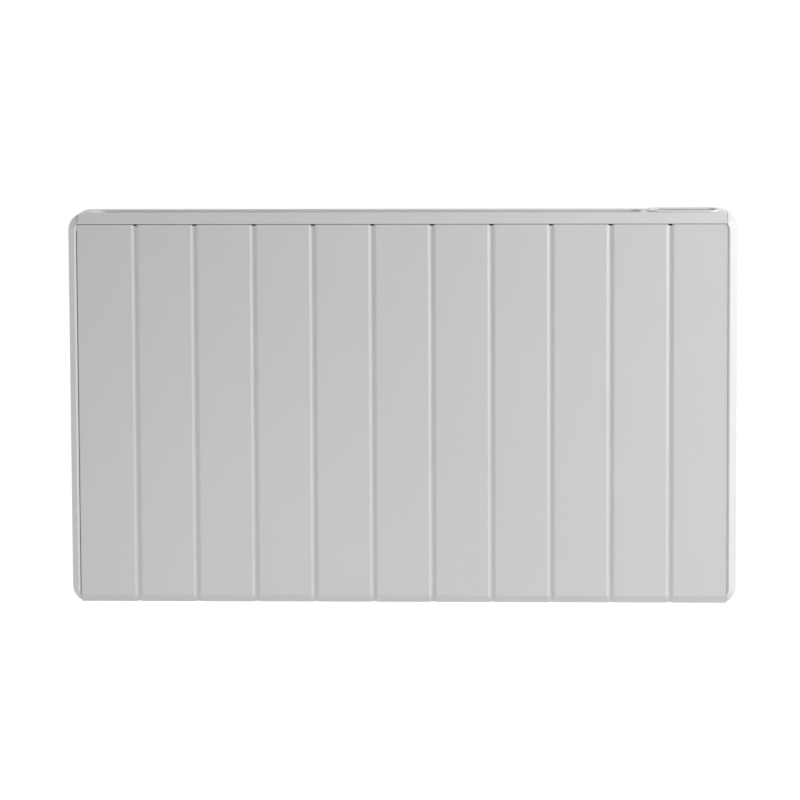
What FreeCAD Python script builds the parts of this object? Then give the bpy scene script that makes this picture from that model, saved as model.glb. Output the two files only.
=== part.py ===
import FreeCAD, Part
import math
import os
import Sketcher

# Wall-hung electric panel radiator, in millimetres.
# X runs to the right seen from the front, Y towards the wall, Z up.
# Every piece is drawn with the wall at Y = 0 and the radiator's lowest edge at Z = 0, then lowered by
# half the case's height, so that the origin lies on the wall at the centre of the bracket's screw holes.

DIMENSIONS = [
    # Case
    ("case_width", 930),
    ("case_height", 546),
    ("case_depth", 86),
    ("wall_gap", 22),
    ("corner_radius", 24),
    ("corner_ease", 0.05),
    ("seam_gap", 0.8),
    ("trim_gap", 0.5),
    ("fit_gap", 0.3),
    # Front panel
    ("cap_reach", 13.5),
    ("trim_rise", 15.5),
    ("panel_gauge", 1.0),
    ("panel_return", 15),
    ("panel_flange", 10),
    ("panel_edge", 0.7),
    ("flute_count", 11),
    ("end_flute", 80.25),
    ("groove_width", 8.4),
    ("groove_depth", 3.0),
    ("groove_floor", 1.6),
    ("notch_width", 6.4),
    ("notch_height", 2.2),
    ("lip_angle", 50),
    ("lip_bend", 8),
    ("lip_length", 10),
    # Top cover and outlet grille
    ("cover_wall", 2.0),
    ("cover_edge", 7.0),
    ("trim_setback", 16),
    ("trim_inset", 0.6),
    ("trim_end", 0.6),
    ("foot_back", 4.4),
    ("outlet_margin", 33),
    ("outlet_corner", 16),
    ("outlet_depth", 15),
    ("outlet_dish", 3.0),
    ("outlet_rim", 1.6),
    ("outlet_ledge", 3.0),
    ("deck_front", 7),
    ("deck_rear", 8),
    ("bridge_width", 9),
    ("grille_frame", 3.0),
    ("grille_height", 6.0),
    ("louvre_count", 5),
    ("louvre_gauge", 1.5),
    ("louvre_lean", 25),
    ("grille_rib_count", 6),
    # End caps
    ("cap_wall", 2.5),
    ("cap_proud", 1.4),
    ("cap_crest", 3.4),
    ("cap_crest_drop", 3.6),
    ("cap_bevel", 16),
    ("cap_nose", 8),
    ("cap_shoulder", 8),
    ("boss_radius", 4.5),
    ("cap_screw_edge", 80),
    # Rear panel, base, end plates and rails
    ("rear_inset", 1.2),
    ("rear_gauge", 0.8),
    ("rear_edge", 3.0),
    ("swage_height", 16),
    ("swage_depth", 2.4),
    ("swage_edge", 62),
    ("swage_margin", 85),
    ("base_gauge", 1.0),
    ("base_lift", 3),
    ("base_flange", 8),
    ("base_tab", 28),
    ("inlet_slot_length", 50),
    ("inlet_slot_width", 6),
    ("inlet_columns", 13),
    ("inlet_rows", 3),
    ("inlet_row_pitch", 15),
    ("frame_gauge", 1.0),
    ("frame_flange", 12),
    ("frame_margin", 22),
    ("frame_setback", 5),
    ("rail_height", 30),
    ("rail_depth", 12),
    ("rail_edge", 60),
    # Heating
    ("radiant_side", 21.5),
    ("radiant_low", 48),
    ("radiant_high", 21),
    ("radiant_gauge", 1.0),
    ("film_gauge", 0.6),
    ("film_margin", 12),
    ("film_slot_count", 5),
    ("film_slot_width", 6),
    ("insulation_thick", 8),
    ("element_height", 112),
    ("element_margin", 55),
    ("element_half_depth", 17),
    ("element_half_height", 32),
    ("element_core", 6),
    ("element_tip", 1.6),
    ("sheath_radius", 4.0),
    ("sheath_stub", 26),
    ("pin_radius", 1.6),
    ("pin_length", 9),
    ("bush_radius", 7.5),
    ("bush_length", 11),
    ("bush_gap", 0.1),
    ("element_bracket_gap", 13),
    ("element_bracket_gauge", 1.2),
    ("element_bracket_half", 15),
    ("shield_gauge", 0.8),
    ("shield_side", 11.5),
    ("shield_low", 62),
    ("shield_high", 27),
    ("shield_window", 34),
    ("cutout_radius", 8),
    ("cutout_height", 9),
    ("cutout_x", -250),
    ("cutout_z", 330),
    # Controls
    ("bezel_margin", 23),
    ("bezel_width", 101),
    ("bezel_front", 1.5),
    ("bezel_rear", 6.5),
    ("bezel_rise", 2.1),
    ("bezel_ease", 1.8),
    ("bezel_rim", 7.5),
    ("bezel_corner", 18),
    ("bezel_draft", 18),
    ("bezel_lip", 2.0),
    ("bezel_skirt", 1.5),
    ("bezel_skirt_drop", 7.5),
    ("fascia_sink", 0.5),
    ("fascia_thick", 2.0),
    ("window_length", 58),
    ("window_depth", 20),
    ("window_back", 10),
    ("button_length", 12),
    ("button_depth", 8),
    ("button_corner", 2.0),
    ("button_crown", 0.5),
    ("button_pitch", 15.5),
    ("button_forward", 13),
    ("button_proud", 1.2),
    ("button_gap", 0.3),
    ("button_flange", 0.8),
    ("button_travel", 0.8),
    ("tact_size", 6),
    ("tact_height", 3.5),
    ("board_gauge", 1.6),
    ("board_margin", 1.0),
    ("box_front", 10),
    ("box_rear", 7.5),
    ("box_height", 94),
    ("box_wall", 2.0),
    ("box_boss", 3.2),
    ("box_boss_inset", 6),
    ("power_board_height", 78),
    ("relay_length", 20),
    ("relay_height", 16),
    ("relay_depth", 14),
    ("sink_length", 46),
    ("sink_height", 30),
    ("sink_depth", 10),
    ("sink_fin_count", 7),
    ("service_margin", 70),
    ("terminal_length", 42),
    ("terminal_height", 20),
    ("terminal_depth", 15),
    ("terminal_z", 96),
    ("gland_z", 40),
    ("gland_radius", 8),
    ("gland_bore", 4),
    ("gland_flange", 11),
    ("gland_head", 3),
    ("gland_nut", 12),
    ("gland_nut_thick", 4),
    ("gland_tail", 12),
    ("sensor_margin", 42),
    ("sensor_radius", 2.5),
    ("sensor_length", 14),
    ("holder_half", 6),
    ("holder_height", 13),
    # Mains switch in the right end cap
    ("switch_y", 44),
    ("switch_z", 74),
    ("switch_well", 6.0),
    ("switch_well_margin", 4.5),
    ("switch_length", 21),
    ("switch_width", 15),
    ("switch_rim", 1.5),
    ("switch_body", 12),
    ("switch_wall", 1.1),
    ("rocker_half", 2.8),
    ("rocker_dish", 1.4),
    ("rocker_tilt", 9),
    ("rocker_pin", 1.2),
    ("pin_play", 0.05),
    # Wall bracket and catches
    ("bracket_edge", 15),
    ("bracket_gauge", 1.5),
    ("upright_x", 160),
    ("web_width", 40),
    ("foot_width", 18),
    ("web_clear", 2.7),
    ("cross_height", 30),
    ("wall_hole_radius", 3.0),
    ("wall_hole_rise", 270),
    ("hook_drop", 111.5),
    ("hook_width", 18),
    ("hook_reach", 9),
    ("hook_tip", 9),
    ("hook_slot", 14),
    ("latch_rise", 113.5),
    ("latch_shank", 2.5),
    ("latch_lever", 46),
    ("latch_width", 13),
    ("latch_gauge", 1.5),
    ("latch_head_half", 9),
    ("latch_head_tall", 5),
    ("latch_head_thick", 2.0),
    ("latch_grip", 2.0),
    ("latch_rivet", 5),
    # Fasteners
    ("screw_radius", 1.5),
    ("screw_hole", 1.7),
    ("screw_pilot", 1.55),
    ("screw_head", 3.0),
    ("screw_head_tall", 1.6),
    ("cap_screw_length", 9),
    ("rear_screw_length", 6),
    ("board_screw_length", 7),
    ("rear_screw_edge", 60),
    # Wiring
    ("lead_radius", 1.3),
    ("lead_bend", 16),
    ("lead_run", 34),
]

doc = FreeCAD.newDocument("radiator")
dims = doc.addObject("Spreadsheet::Sheet", "dims")
for row, (alias, size) in enumerate(DIMENSIONS, start=1):
    dims.set(f"A{row}", alias)
    dims.set(f"B{row}", str(size))
    dims.setAlias(f"B{row}", alias)
doc.recompute()

# Places that several pieces share, as expressions of the sheet
FRONT = "(-dims.wall_gap - dims.case_depth)"
BACK = "(-dims.wall_gap)"
TOP = "dims.case_height"
SIDE = "(dims.case_width / 2)"
PANEL_SIDE = "(dims.case_width / 2 - dims.cap_reach)"
PANEL_TOP = "(dims.case_height - dims.trim_rise)"
FLUTE_PITCH = f"((2 * {PANEL_SIDE} - 2 * dims.end_flute) / (dims.flute_count - 2))"
LIP_TOP = "(dims.lip_bend * sin(dims.lip_angle) + dims.lip_length * cos(dims.lip_angle))"
LIP_BACK = f"({FRONT} + dims.lip_bend * (1 - cos(dims.lip_angle)) + dims.lip_length * sin(dims.lip_angle))"
MOUNT = "(dims.case_height / 2)"
RIB_BACK = f"({FRONT} + dims.groove_depth + dims.panel_gauge)"
REAR_BACK = f"({BACK} - dims.rear_inset)"
REAR_FRONT = f"({REAR_BACK} - dims.rear_gauge)"
SHIELD_BACK = f"({REAR_FRONT} - dims.frame_gauge)"
SHIELD_FRONT = f"({SHIELD_BACK} - dims.shield_gauge)"
PLATE_OUT = f"({PANEL_SIDE} - dims.panel_gauge)"
PLATE_IN = f"({PLATE_OUT} - dims.frame_gauge)"
RADIANT_FRONT = f"({RIB_BACK} + dims.fit_gap)"
FILM_FRONT = f"({RADIANT_FRONT} + dims.radiant_gauge)"
INSULATION_FRONT = f"({FILM_FRONT} + dims.film_gauge)"
RAIL_FRONT = f"({INSULATION_FRONT} + dims.insulation_thick)"
RAIL_BACK = f"({RAIL_FRONT} + dims.rail_depth)"
BEZEL_FRONT = f"({FRONT} + dims.trim_setback + dims.bezel_front)"
BEZEL_REAR = f"({BACK} - dims.bezel_rear)"
BEZEL_RIGHT = f"({SIDE} - dims.bezel_margin)"
BEZEL_LEFT = f"({BEZEL_RIGHT} - dims.bezel_width)"
CONTROL_X = f"({BEZEL_RIGHT} - dims.bezel_width / 2)"
CONTROL_Y = f"(({BEZEL_FRONT} + {BEZEL_REAR}) / 2)"
OUTLET_LEFT = f"(-{SIDE} + dims.outlet_margin)"
OUTLET_RIGHT = f"({BEZEL_LEFT} - dims.bridge_width)"
OUTLET_FRONT = f"({FRONT} + dims.trim_setback + dims.deck_front)"
OUTLET_REAR = f"({BACK} - dims.deck_rear)"
OUTLET_X = f"(({OUTLET_LEFT} + {OUTLET_RIGHT}) / 2)"
OUTLET_Y = f"(({OUTLET_FRONT} + {OUTLET_REAR}) / 2)"
FASCIA_TOP = f"({TOP} - dims.fascia_sink)"
FASCIA_LOW = f"({FASCIA_TOP} - dims.fascia_thick)"
FLANGE_LOW = f"({FASCIA_LOW} - dims.button_gap - dims.button_flange)"
TACT_TOP = f"({FLANGE_LOW} - dims.button_travel - dims.button_gap)"
BOARD_TOP = f"({TACT_TOP} - dims.tact_height)"
BOARD_LOW = f"({BOARD_TOP} - dims.board_gauge)"
WINDOW_Y = f"({CONTROL_Y} + dims.window_back)"
BUTTON_Y = f"({CONTROL_Y} - dims.button_forward)"
BOX_LEFT = f"({BEZEL_LEFT} + dims.bezel_rim - dims.bezel_lip - dims.board_margin)"
BOX_RIGHT = PLATE_IN
BOX_FRONT = f"({BEZEL_FRONT} + dims.box_front)"
BOX_REAR = f"({BEZEL_REAR} - dims.box_rear)"
BOX_LOW = f"({BOARD_LOW} - dims.box_height)"
ELEMENT_LEFT = f"(-{PANEL_SIDE} + dims.element_margin)"
ELEMENT_RIGHT = f"({OUTLET_RIGHT} - dims.element_margin / 2)"
ELEMENT_X = f"(({ELEMENT_LEFT} + {ELEMENT_RIGHT}) / 2)"
ELEMENT_Y = f"(({RAIL_BACK} + {SHIELD_FRONT}) / 2)"
SERVICE_X = f"({SIDE} - dims.service_margin)"
WEB_FRONT = f"({REAR_BACK} + dims.web_clear)"
WEB_BACK = f"({WEB_FRONT} + dims.bracket_gauge)"
HOOK_Z = f"({MOUNT} - dims.hook_drop)"
LATCH_Z = f"({MOUNT} + dims.latch_rise)"
BRACKET_LOW = f"({MOUNT} - dims.wall_hole_rise / 2 - dims.bracket_edge)"
BRACKET_HEIGHT = "(dims.wall_hole_rise + 2 * dims.bracket_edge)"
WALL_HOLE_X = "(dims.upright_x + dims.web_width / 2 + dims.foot_width / 2)"
SWITCH_FACE = f"({SIDE} - dims.switch_well)"
ROCKER_X = f"({SWITCH_FACE} - dims.switch_rim)"

nodes = {}


def value(expression):
    """The present size of an expression of the sheet."""
    return float(dims.evalExpression(expression))


def new_body(label, many=False):
    """A PartDesign body lowered to the mount's origin; many lets it hold a group of equal solids."""
    body = doc.addObject("PartDesign::Body", label)
    body.Label = label
    body.AllowCompound = many
    body.setExpression("Placement.Base.z", f"-{MOUNT}")
    nodes[label] = body
    return body


def origin_feature(body, role):
    return next(feature for feature in body.Origin.OriginFeatures if feature.Role == role)


def sketch_on(body, plane, name, at="0", origin=("0", "0")):
    """A sketch on one of the body's origin planes, moved along its normal to the coordinate at."""
    sketch = body.newObject("Sketcher::SketchObject", name)
    sketch.AttachmentSupport = [(origin_feature(body, plane), "")]
    sketch.MapMode = "FlatFace"
    lift = f"-({at})" if plane == "XZ_Plane" else at
    for axis, expression in zip("xyz", (origin[0], origin[1], lift)):
        sketch.setExpression(f"AttachmentOffset.Base.{axis}", expression)
    return sketch


def tie(sketch, kind, expression, *places):
    """Add a driving constraint whose value is bound to the sheet."""
    index = sketch.addConstraint(Sketcher.Constraint(kind, *places, value(expression)))
    name = f"size{index}"
    sketch.renameConstraint(index, name)
    sketch.setExpression(f"Constraints.{name}", expression)


def tie_point(sketch, geometry, end, across, along):
    tie(sketch, "DistanceX", across, -1, 1, geometry, end)
    tie(sketch, "DistanceY", along, -1, 1, geometry, end)


def outline(sketch, corners):
    """A closed outline of straight sides; a corner with a third entry is rounded to that radius."""
    count = len(corners)
    points = [FreeCAD.Vector(value(corner[0]), value(corner[1]), 0) for corner in corners]
    ends = []
    for index, corner in enumerate(corners):
        point = points[index]
        if len(corner) < 3:
            ends.append((point, None, point))
            continue
        before = (points[index - 1] - point).normalize()
        after = (points[(index + 1) % count] - point).normalize()
        half = before.getAngle(after) / 2
        radius = value(corner[2])
        middle = (before + after).normalize()
        reach = radius / math.tan(half)
        crown = point + middle * (radius / math.sin(half) - radius)
        ends.append((point + before * reach, crown, point + after * reach))
    sides = []
    for index in range(count):
        line = Part.LineSegment(ends[index][2], ends[(index + 1) % count][0])
        sides.append(sketch.addGeometry(line))
    for index, corner in enumerate(corners):
        before, after = sides[index - 1], sides[index]
        start, crown, stop = ends[index]
        if crown is None:
            sketch.addConstraint(Sketcher.Constraint("Coincident", before, 2, after, 1))
            tie_point(sketch, after, 1, corner[0], corner[1])
            continue
        left_turn = (crown - start).cross(stop - crown).z > 0
        first, last = (1, 2) if left_turn else (2, 1)
        turned = Part.Arc(start, crown, stop) if left_turn else Part.Arc(stop, crown, start)
        arc = sketch.addGeometry(turned)
        sketch.addConstraint(Sketcher.Constraint("Tangent", before, 2, arc, first))
        sketch.addConstraint(Sketcher.Constraint("Tangent", arc, last, after, 1))
        tie(sketch, "Radius", corner[2], arc)
        vertex = sketch.addGeometry(Part.Point(points[index]), True)
        sketch.addConstraint(Sketcher.Constraint("PointOnObject", vertex, 1, before))
        sketch.addConstraint(Sketcher.Constraint("PointOnObject", vertex, 1, after))
        tie_point(sketch, vertex, 1, corner[0], corner[1])


def rectangle(sketch, left, right, low, high, radius=None):
    corners = [(left, low), (right, low), (right, high), (left, high)]
    if radius:
        corners = [(across, along, radius) for across, along in corners]
    outline(sketch, corners)


def centred(sketch, across, along, width, height, radius=None):
    """A rectangle about a middle point."""
    left, right = f"{across} - ({width}) / 2", f"{across} + ({width}) / 2"
    low, high = f"{along} - ({height}) / 2", f"{along} + ({height}) / 2"
    rectangle(sketch, left, right, low, high, radius)


def circle(sketch, across, along, radius):
    middle = FreeCAD.Vector(value(across), value(along), 0)
    ring = sketch.addGeometry(Part.Circle(middle, FreeCAD.Vector(0, 0, 1), value(radius)))
    tie(sketch, "Radius", radius, ring)
    tie_point(sketch, ring, 3, across, along)


def polygon(sketch, across, along, radius, sides):
    """A regular outline whose flats lie at the stated radius, for small repeated pieces."""
    corners = []
    for step in range(sides):
        turn = f"{360 * (step + 0.5) / sides}"
        reach = f"({radius}) / {math.cos(math.pi / sides)}"
        corners.append((f"{across} + {reach} * cos({turn})", f"{along} + {reach} * sin({turn})"))
    outline(sketch, corners)


# A turning pin has twelve sides whose corners, not flats, lie at its radius, so it turns in its hole
PIN_FLAT = "cos(15)"


def clipped(sketch, across, along, width, height, clip):
    """A rectangle about a middle point with its corners cut off."""
    wide, tall = f"({width}) / 2", f"({height}) / 2"
    short_wide, short_tall = f"({width}) / 2 - ({clip})", f"({height}) / 2 - ({clip})"
    outline(sketch, [
        (f"{across} - ({short_wide})", f"{along} - {tall}"),
        (f"{across} + ({short_wide})", f"{along} - {tall}"),
        (f"{across} + {wide}", f"{along} - ({short_tall})"),
        (f"{across} + {wide}", f"{along} + ({short_tall})"),
        (f"{across} + ({short_wide})", f"{along} + {tall}"),
        (f"{across} - ({short_wide})", f"{along} + {tall}"),
        (f"{across} - {wide}", f"{along} + ({short_tall})"),
        (f"{across} - {wide}", f"{along} - ({short_tall})"),
    ])


def pad(body, sketch, length, both=False, back=False, draft=None):
    feature = body.newObject("PartDesign::Pad", "Pad")
    feature.Profile = sketch
    feature.setExpression("Length", length)
    feature.SideType = "Symmetric" if both else "One side"
    feature.Reversed = back
    if draft:
        feature.setExpression("TaperAngle", draft)
    doc.recompute()
    return feature


def pocket(body, sketch, depth=None, both=False, back=False):
    """Cut to a depth, or right through when no depth is given."""
    feature = body.newObject("PartDesign::Pocket", "Pocket")
    feature.Profile = sketch
    feature.SideType = "Symmetric" if both else "One side"
    feature.Reversed = back
    if depth:
        feature.setExpression("Length", depth)
    else:
        feature.Type = "ThroughAll"
    doc.recompute()
    return feature


def revolve(body, sketch, axis, angle, back=False):
    feature = body.newObject("PartDesign::Revolution", "Revolution")
    feature.Profile = sketch
    feature.ReferenceAxis = (sketch, [axis])
    feature.setExpression("Angle", angle)
    feature.Reversed = back
    doc.recompute()
    return feature


def sweep(body, kind, section, spine):
    feature = body.newObject(f"PartDesign::{kind}Pipe", "Pipe")
    feature.Profile = section
    feature.Spine = (spine, [f"Edge{number}" for number in range(1, len(spine.Shape.Edges) + 1)])
    doc.recompute()
    return feature


def row_of(body, features, axis, pitch, count):
    """Repeat features along one of the body's origin axes."""
    feature = body.newObject("PartDesign::LinearPattern", "Row")
    feature.Originals = features
    feature.Direction = (origin_feature(body, axis), [""])
    feature.setExpression("Length", f"({pitch}) * (({count}) - 1)")
    feature.setExpression("Occurrences", count)
    body.Tip = feature
    doc.recompute()
    return feature


def mirror(body, features, plane="YZ_Plane"):
    feature = body.newObject("PartDesign::Mirrored", "Mirrored")
    feature.Originals = features
    feature.MirrorPlane = (origin_feature(body, plane), [""])
    body.Tip = feature
    doc.recompute()
    return feature


def mirrored_copy(label, source, about="0"):
    """A left-hand piece from its right-hand twin."""
    copy = doc.addObject("Part::Mirroring", label)
    copy.Label = label
    copy.Source = source
    copy.Normal = FreeCAD.Vector(1, 0, 0)
    copy.setExpression("Base.x", about)
    nodes[label] = copy
    doc.recompute()
    return copy


def trim_outside(body, plane, at, left, right, low, high, radius):
    """Cut away whatever stands outside a rounded rectangle."""
    sketch = sketch_on(body, plane, "trim", at)
    spare = "dims.case_height"
    rectangle(sketch, f"{left} - {spare}", f"{right} + {spare}", f"{low} - {spare}", f"{high} + {spare}")
    rectangle(sketch, left, right, low, high, radius)
    return pocket(body, sketch, "4 * dims.case_width", both=True)


def panel_spine(body):
    """The path of the pressed front: straight down, round the lower bend, then along the folded lip."""
    spine = sketch_on(body, "YZ_Plane", "panel_spine")
    bend_x = f"{FRONT} + dims.lip_bend"
    bend_end_x = f"{FRONT} + dims.lip_bend * (1 - cos(dims.lip_angle))"
    bend_end_z = f"{LIP_TOP} - dims.lip_bend * sin(dims.lip_angle)"
    half = math.radians(value("dims.lip_angle")) / 2
    centre = FreeCAD.Vector(value(bend_x), value(LIP_TOP), 0)
    start = FreeCAD.Vector(value(FRONT), value(LIP_TOP), 0)
    crown = centre - FreeCAD.Vector(math.cos(half), math.sin(half), 0) * value("dims.lip_bend")
    stop = FreeCAD.Vector(value(bend_end_x), value(bend_end_z), 0)
    face = spine.addGeometry(Part.LineSegment(FreeCAD.Vector(value(FRONT), value(PANEL_TOP), 0), start))
    bend = spine.addGeometry(Part.Arc(start, crown, stop))
    lip = spine.addGeometry(Part.LineSegment(stop, FreeCAD.Vector(value(LIP_BACK), 0, 0)))
    spine.addConstraint(Sketcher.Constraint("Coincident", face, 2, bend, 1))
    spine.addConstraint(Sketcher.Constraint("Coincident", bend, 2, lip, 1))
    tie_point(spine, face, 1, FRONT, PANEL_TOP)
    tie_point(spine, face, 2, FRONT, LIP_TOP)
    tie_point(spine, bend, 3, bend_x, LIP_TOP)
    tie(spine, "DistanceY", bend_end_z, -1, 1, bend, 2)
    tie_point(spine, lip, 2, LIP_BACK, "0")
    doc.recompute()
    return spine


def front_panel():
    """Pressed steel front: a sheet swept down to its folded lip, with side returns and flutes, and a top flange
    that is notched where each groove crosses its fold."""
    body = new_body("front_panel")
    spine = panel_spine(body)
    inner = f"{PANEL_SIDE} - dims.panel_gauge"
    inside = f"{FRONT} + dims.panel_gauge"
    back = f"{FRONT} + dims.panel_return"
    section = sketch_on(body, "XY_Plane", "panel_section", PANEL_TOP)
    edge = "dims.panel_edge"
    outline(section, [(f"-{PANEL_SIDE}", f"{FRONT} + {edge}"), (f"-{PANEL_SIDE} + {edge}", FRONT),
                      (f"{PANEL_SIDE} - {edge}", FRONT), (PANEL_SIDE, f"{FRONT} + {edge}"),
                      (PANEL_SIDE, inside), (f"-{PANEL_SIDE}", inside)])
    sweep(body, "Additive", section, spine)
    returns = sketch_on(body, "XY_Plane", "panel_returns", LIP_TOP)
    for sign in ("", "-"):
        outline(returns, [(f"{sign}{PANEL_SIDE}", f"{FRONT} + {edge}"), (f"{sign}({PANEL_SIDE} - {edge})", FRONT),
                          (f"{sign}({inner})", FRONT), (f"{sign}({inner})", back),
                          (f"{sign}{PANEL_SIDE}", back)])
    pad(body, returns, f"{PANEL_TOP} - {LIP_TOP}")
    flange = sketch_on(body, "XY_Plane", "panel_flange", PANEL_TOP)
    rectangle(flange, f"-({inner})", inner, inside, f"{FRONT} + dims.panel_flange")
    edge_base = pad(body, flange, "dims.panel_gauge", back=True)
    bevel(body, "panel_edges", edge_base, "dims.panel_edge * 0.8", front_edges(edge_base.Shape))
    first_x = f"(-{FLUTE_PITCH} * (dims.flute_count - 2) / 2)"
    rib = sketch_on(body, "XY_Plane", "rib_section", PANEL_TOP)
    groove_trapezium(rib, first_x, f"{FRONT} + dims.panel_gauge", "dims.panel_gauge", "0")
    rib_pipe = sweep(body, "Additive", rib, spine)
    groove = sketch_on(body, "XY_Plane", "groove_section", PANEL_TOP)
    groove_trapezium(groove, first_x, FRONT, "0", "dims.panel_gauge")
    groove_pipe = sweep(body, "Subtractive", groove, spine)
    row_of(body, [rib_pipe, groove_pipe], "X_Axis", FLUTE_PITCH, "dims.flute_count - 1")
    notch = sketch_on(body, "XZ_Plane", "fold_notch", FRONT)
    rectangle(notch, f"{first_x} - dims.notch_width / 2", f"{first_x} + dims.notch_width / 2",
              f"{PANEL_TOP} - dims.notch_height", f"{PANEL_TOP} + dims.panel_gauge")
    relief = pocket(body, notch, "dims.groove_depth + 2 * dims.panel_gauge")
    row_of(body, [relief], "X_Axis", FLUTE_PITCH, "dims.flute_count - 1")


def groove_trapezium(sketch, across, face, spread, ahead):
    """Section of a groove with a narrow floor, or of the rib behind it, which is wider by the sheet's spread."""
    wall = "((dims.groove_width - dims.groove_floor) / 2)"
    ease = f"({spread} * (sqrt({wall}^2 + dims.groove_depth^2) - {wall}) / dims.groove_depth)"
    mouth = f"(dims.groove_width / 2 + {ease})"
    floor = f"(dims.groove_floor / 2 + {ease})"
    deep = f"{face} + dims.groove_depth"
    front = f"{face} - {ahead}"
    flare = f"({ahead} * {wall} / dims.groove_depth)"
    outline(sketch, [(f"{across} - {mouth} - {flare}", front), (f"{across} + {mouth} + {flare}", front),
                     (f"{across} + {floor}", deep), (f"{across} - {floor}", deep)])


def front_edges(shape):
    """Name of the long edge between the front and the top flange."""
    front, top = value(FRONT), value(PANEL_TOP)
    names = []
    for number, edge in enumerate(shape.Edges, start=1):
        box = edge.BoundBox
        on_front = abs(box.YMin - front) < 1e-6 and abs(box.YMax - front) < 1e-6
        on_top = abs(box.ZMin - top) < 1e-6 and abs(box.ZMax - top) < 1e-6
        if on_front and on_top:
            names.append(f"Edge{number}")
    return names


def bevel(body, name, base, size, edges):
    """Flat bevel along named edges of the body's latest feature."""
    eased = body.newObject("PartDesign::Chamfer", name)
    eased.Base = (base, edges)
    eased.setExpression("Size", size)
    doc.recompute()


def edges_within(shape, height, left, right, front, rear):
    """Names of the level edges at a height that stay inside stated sides."""
    near = 0.01
    level, low_x, high_x, low_y, high_y = (value(side) for side in (height, left, right, front, rear))
    names = []
    for number, edge in enumerate(shape.Edges, start=1):
        box = edge.BoundBox
        inside_x = box.XMin > low_x - near and box.XMax < high_x + near
        inside_y = box.YMin > low_y - near and box.YMax < high_y + near
        if inside_x and inside_y and abs(box.ZMin - level) < near and abs(box.ZMax - level) < near:
            names.append(f"Edge{number}")
    return names


def side_screw_heights():
    return ("dims.cap_screw_edge", "dims.case_height / 2", "dims.case_height - dims.cap_screw_edge")


def cap_boss_y():
    return f"(({FRONT} + {BACK}) / 2)"


def top_cover():
    """Moulded top: sloped front trim and deck, a sunken outlet with a ledge, and the hole for the controls."""
    body = new_body("top_cover")
    trim_low = f"{PANEL_TOP} + dims.trim_gap"
    deck_low = f"{TOP} - dims.cover_wall"
    foot_front = f"{FRONT} + dims.foot_back"
    foot_rear = f"{foot_front} + dims.cover_wall"
    slope_top = f"{FRONT} + dims.trim_setback"
    section = sketch_on(body, "YZ_Plane", "cover_section")
    outline(section, [
        (f"{FRONT} + dims.trim_inset", trim_low),
        (slope_top, TOP, "dims.cover_edge"),
        (BACK, TOP, "dims.cover_wall / 2"),
        (BACK, deck_low),
        (f"{slope_top} + dims.cover_wall * 0.4", deck_low),
        (foot_rear, f"{trim_low} + dims.cover_wall * 1.5"),
        (foot_rear, PANEL_TOP),
        (foot_front, PANEL_TOP),
        (foot_front, trim_low),
    ])
    pad(body, section, f"2 * ({PANEL_SIDE} - dims.trim_end)", both=True)
    web = sketch_on(body, "YZ_Plane", "end_webs", f"{SIDE} - dims.corner_radius")
    web_low = f"({TOP} - dims.outlet_depth / 2)"
    web_high = f"({TOP} - dims.cover_wall / 2)"
    slope = f"((dims.trim_setback - dims.trim_inset) / ({TOP} - ({trim_low})))"
    outline(web, [
        (f"{FRONT} + dims.trim_inset + ({web_low} - ({trim_low})) * {slope} + dims.cover_wall * 0.7", web_low),
        (f"{BACK} - dims.deck_rear", web_low),
        (f"{BACK} - dims.deck_rear", web_high),
        (f"{slope_top} + dims.cover_wall / 2", web_high),
    ])
    right_web = pad(body, web, f"{PANEL_SIDE} - {SIDE} + dims.corner_radius - dims.trim_end")
    mirror(body, [right_web])
    rim = sketch_on(body, "XY_Plane", "outlet_rim", f"{TOP} - dims.cover_wall / 2")
    rectangle(rim, f"{OUTLET_LEFT} - dims.outlet_rim", f"{OUTLET_RIGHT} + dims.outlet_rim",
              f"{OUTLET_FRONT} - dims.outlet_rim", f"{OUTLET_REAR} + dims.outlet_rim",
              "dims.outlet_corner + dims.outlet_rim")
    pad(body, rim, "dims.outlet_depth - dims.cover_wall / 2", back=True)
    collar = sketch_on(body, "XY_Plane", "outlet_collar", f"{TOP} - dims.cover_wall / 2")
    reach = "(dims.outlet_dish + dims.outlet_rim / 2)"
    rectangle(collar, f"{OUTLET_LEFT} - {reach}", f"{OUTLET_RIGHT} + {reach}",
              f"{OUTLET_FRONT} - {reach}", f"{OUTLET_REAR} + {reach}", f"dims.outlet_corner + {reach}")
    pad(body, collar, "dims.outlet_dish", back=True)
    mouth = sketch_on(body, "XY_Plane", "outlet_mouth", TOP)
    rectangle(mouth, OUTLET_LEFT, OUTLET_RIGHT, OUTLET_FRONT, OUTLET_REAR, "dims.outlet_corner")
    opening = pocket(body, mouth, "dims.outlet_depth - dims.outlet_rim")
    bevel(body, "outlet_dish", opening, "dims.outlet_dish",
          edges_within(opening.Shape, TOP, OUTLET_LEFT, OUTLET_RIGHT, OUTLET_FRONT, OUTLET_REAR))
    throat = sketch_on(body, "XY_Plane", "outlet_throat", TOP)
    rectangle(throat, f"{OUTLET_LEFT} + dims.outlet_ledge", f"{OUTLET_RIGHT} - dims.outlet_ledge",
              f"{OUTLET_FRONT} + dims.outlet_ledge", f"{OUTLET_REAR} - dims.outlet_ledge",
              "dims.outlet_corner - dims.outlet_ledge")
    pocket(body, throat)
    hole = sketch_on(body, "XY_Plane", "control_hole", TOP)
    inset = "(dims.bezel_rim - dims.bezel_lip - dims.bezel_skirt - dims.fit_gap)"
    rectangle(hole, f"{BEZEL_LEFT} + {inset}", f"{BEZEL_RIGHT} - {inset}",
              f"{BEZEL_FRONT} + {inset}", f"{BEZEL_REAR} - {inset}", f"dims.bezel_corner - {inset}")
    pocket(body, hole)
    trim_outside(body, "XZ_Plane", "0", f"-{SIDE}", SIDE, "0", f"{TOP} + dims.corner_ease", "dims.corner_radius")


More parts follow.
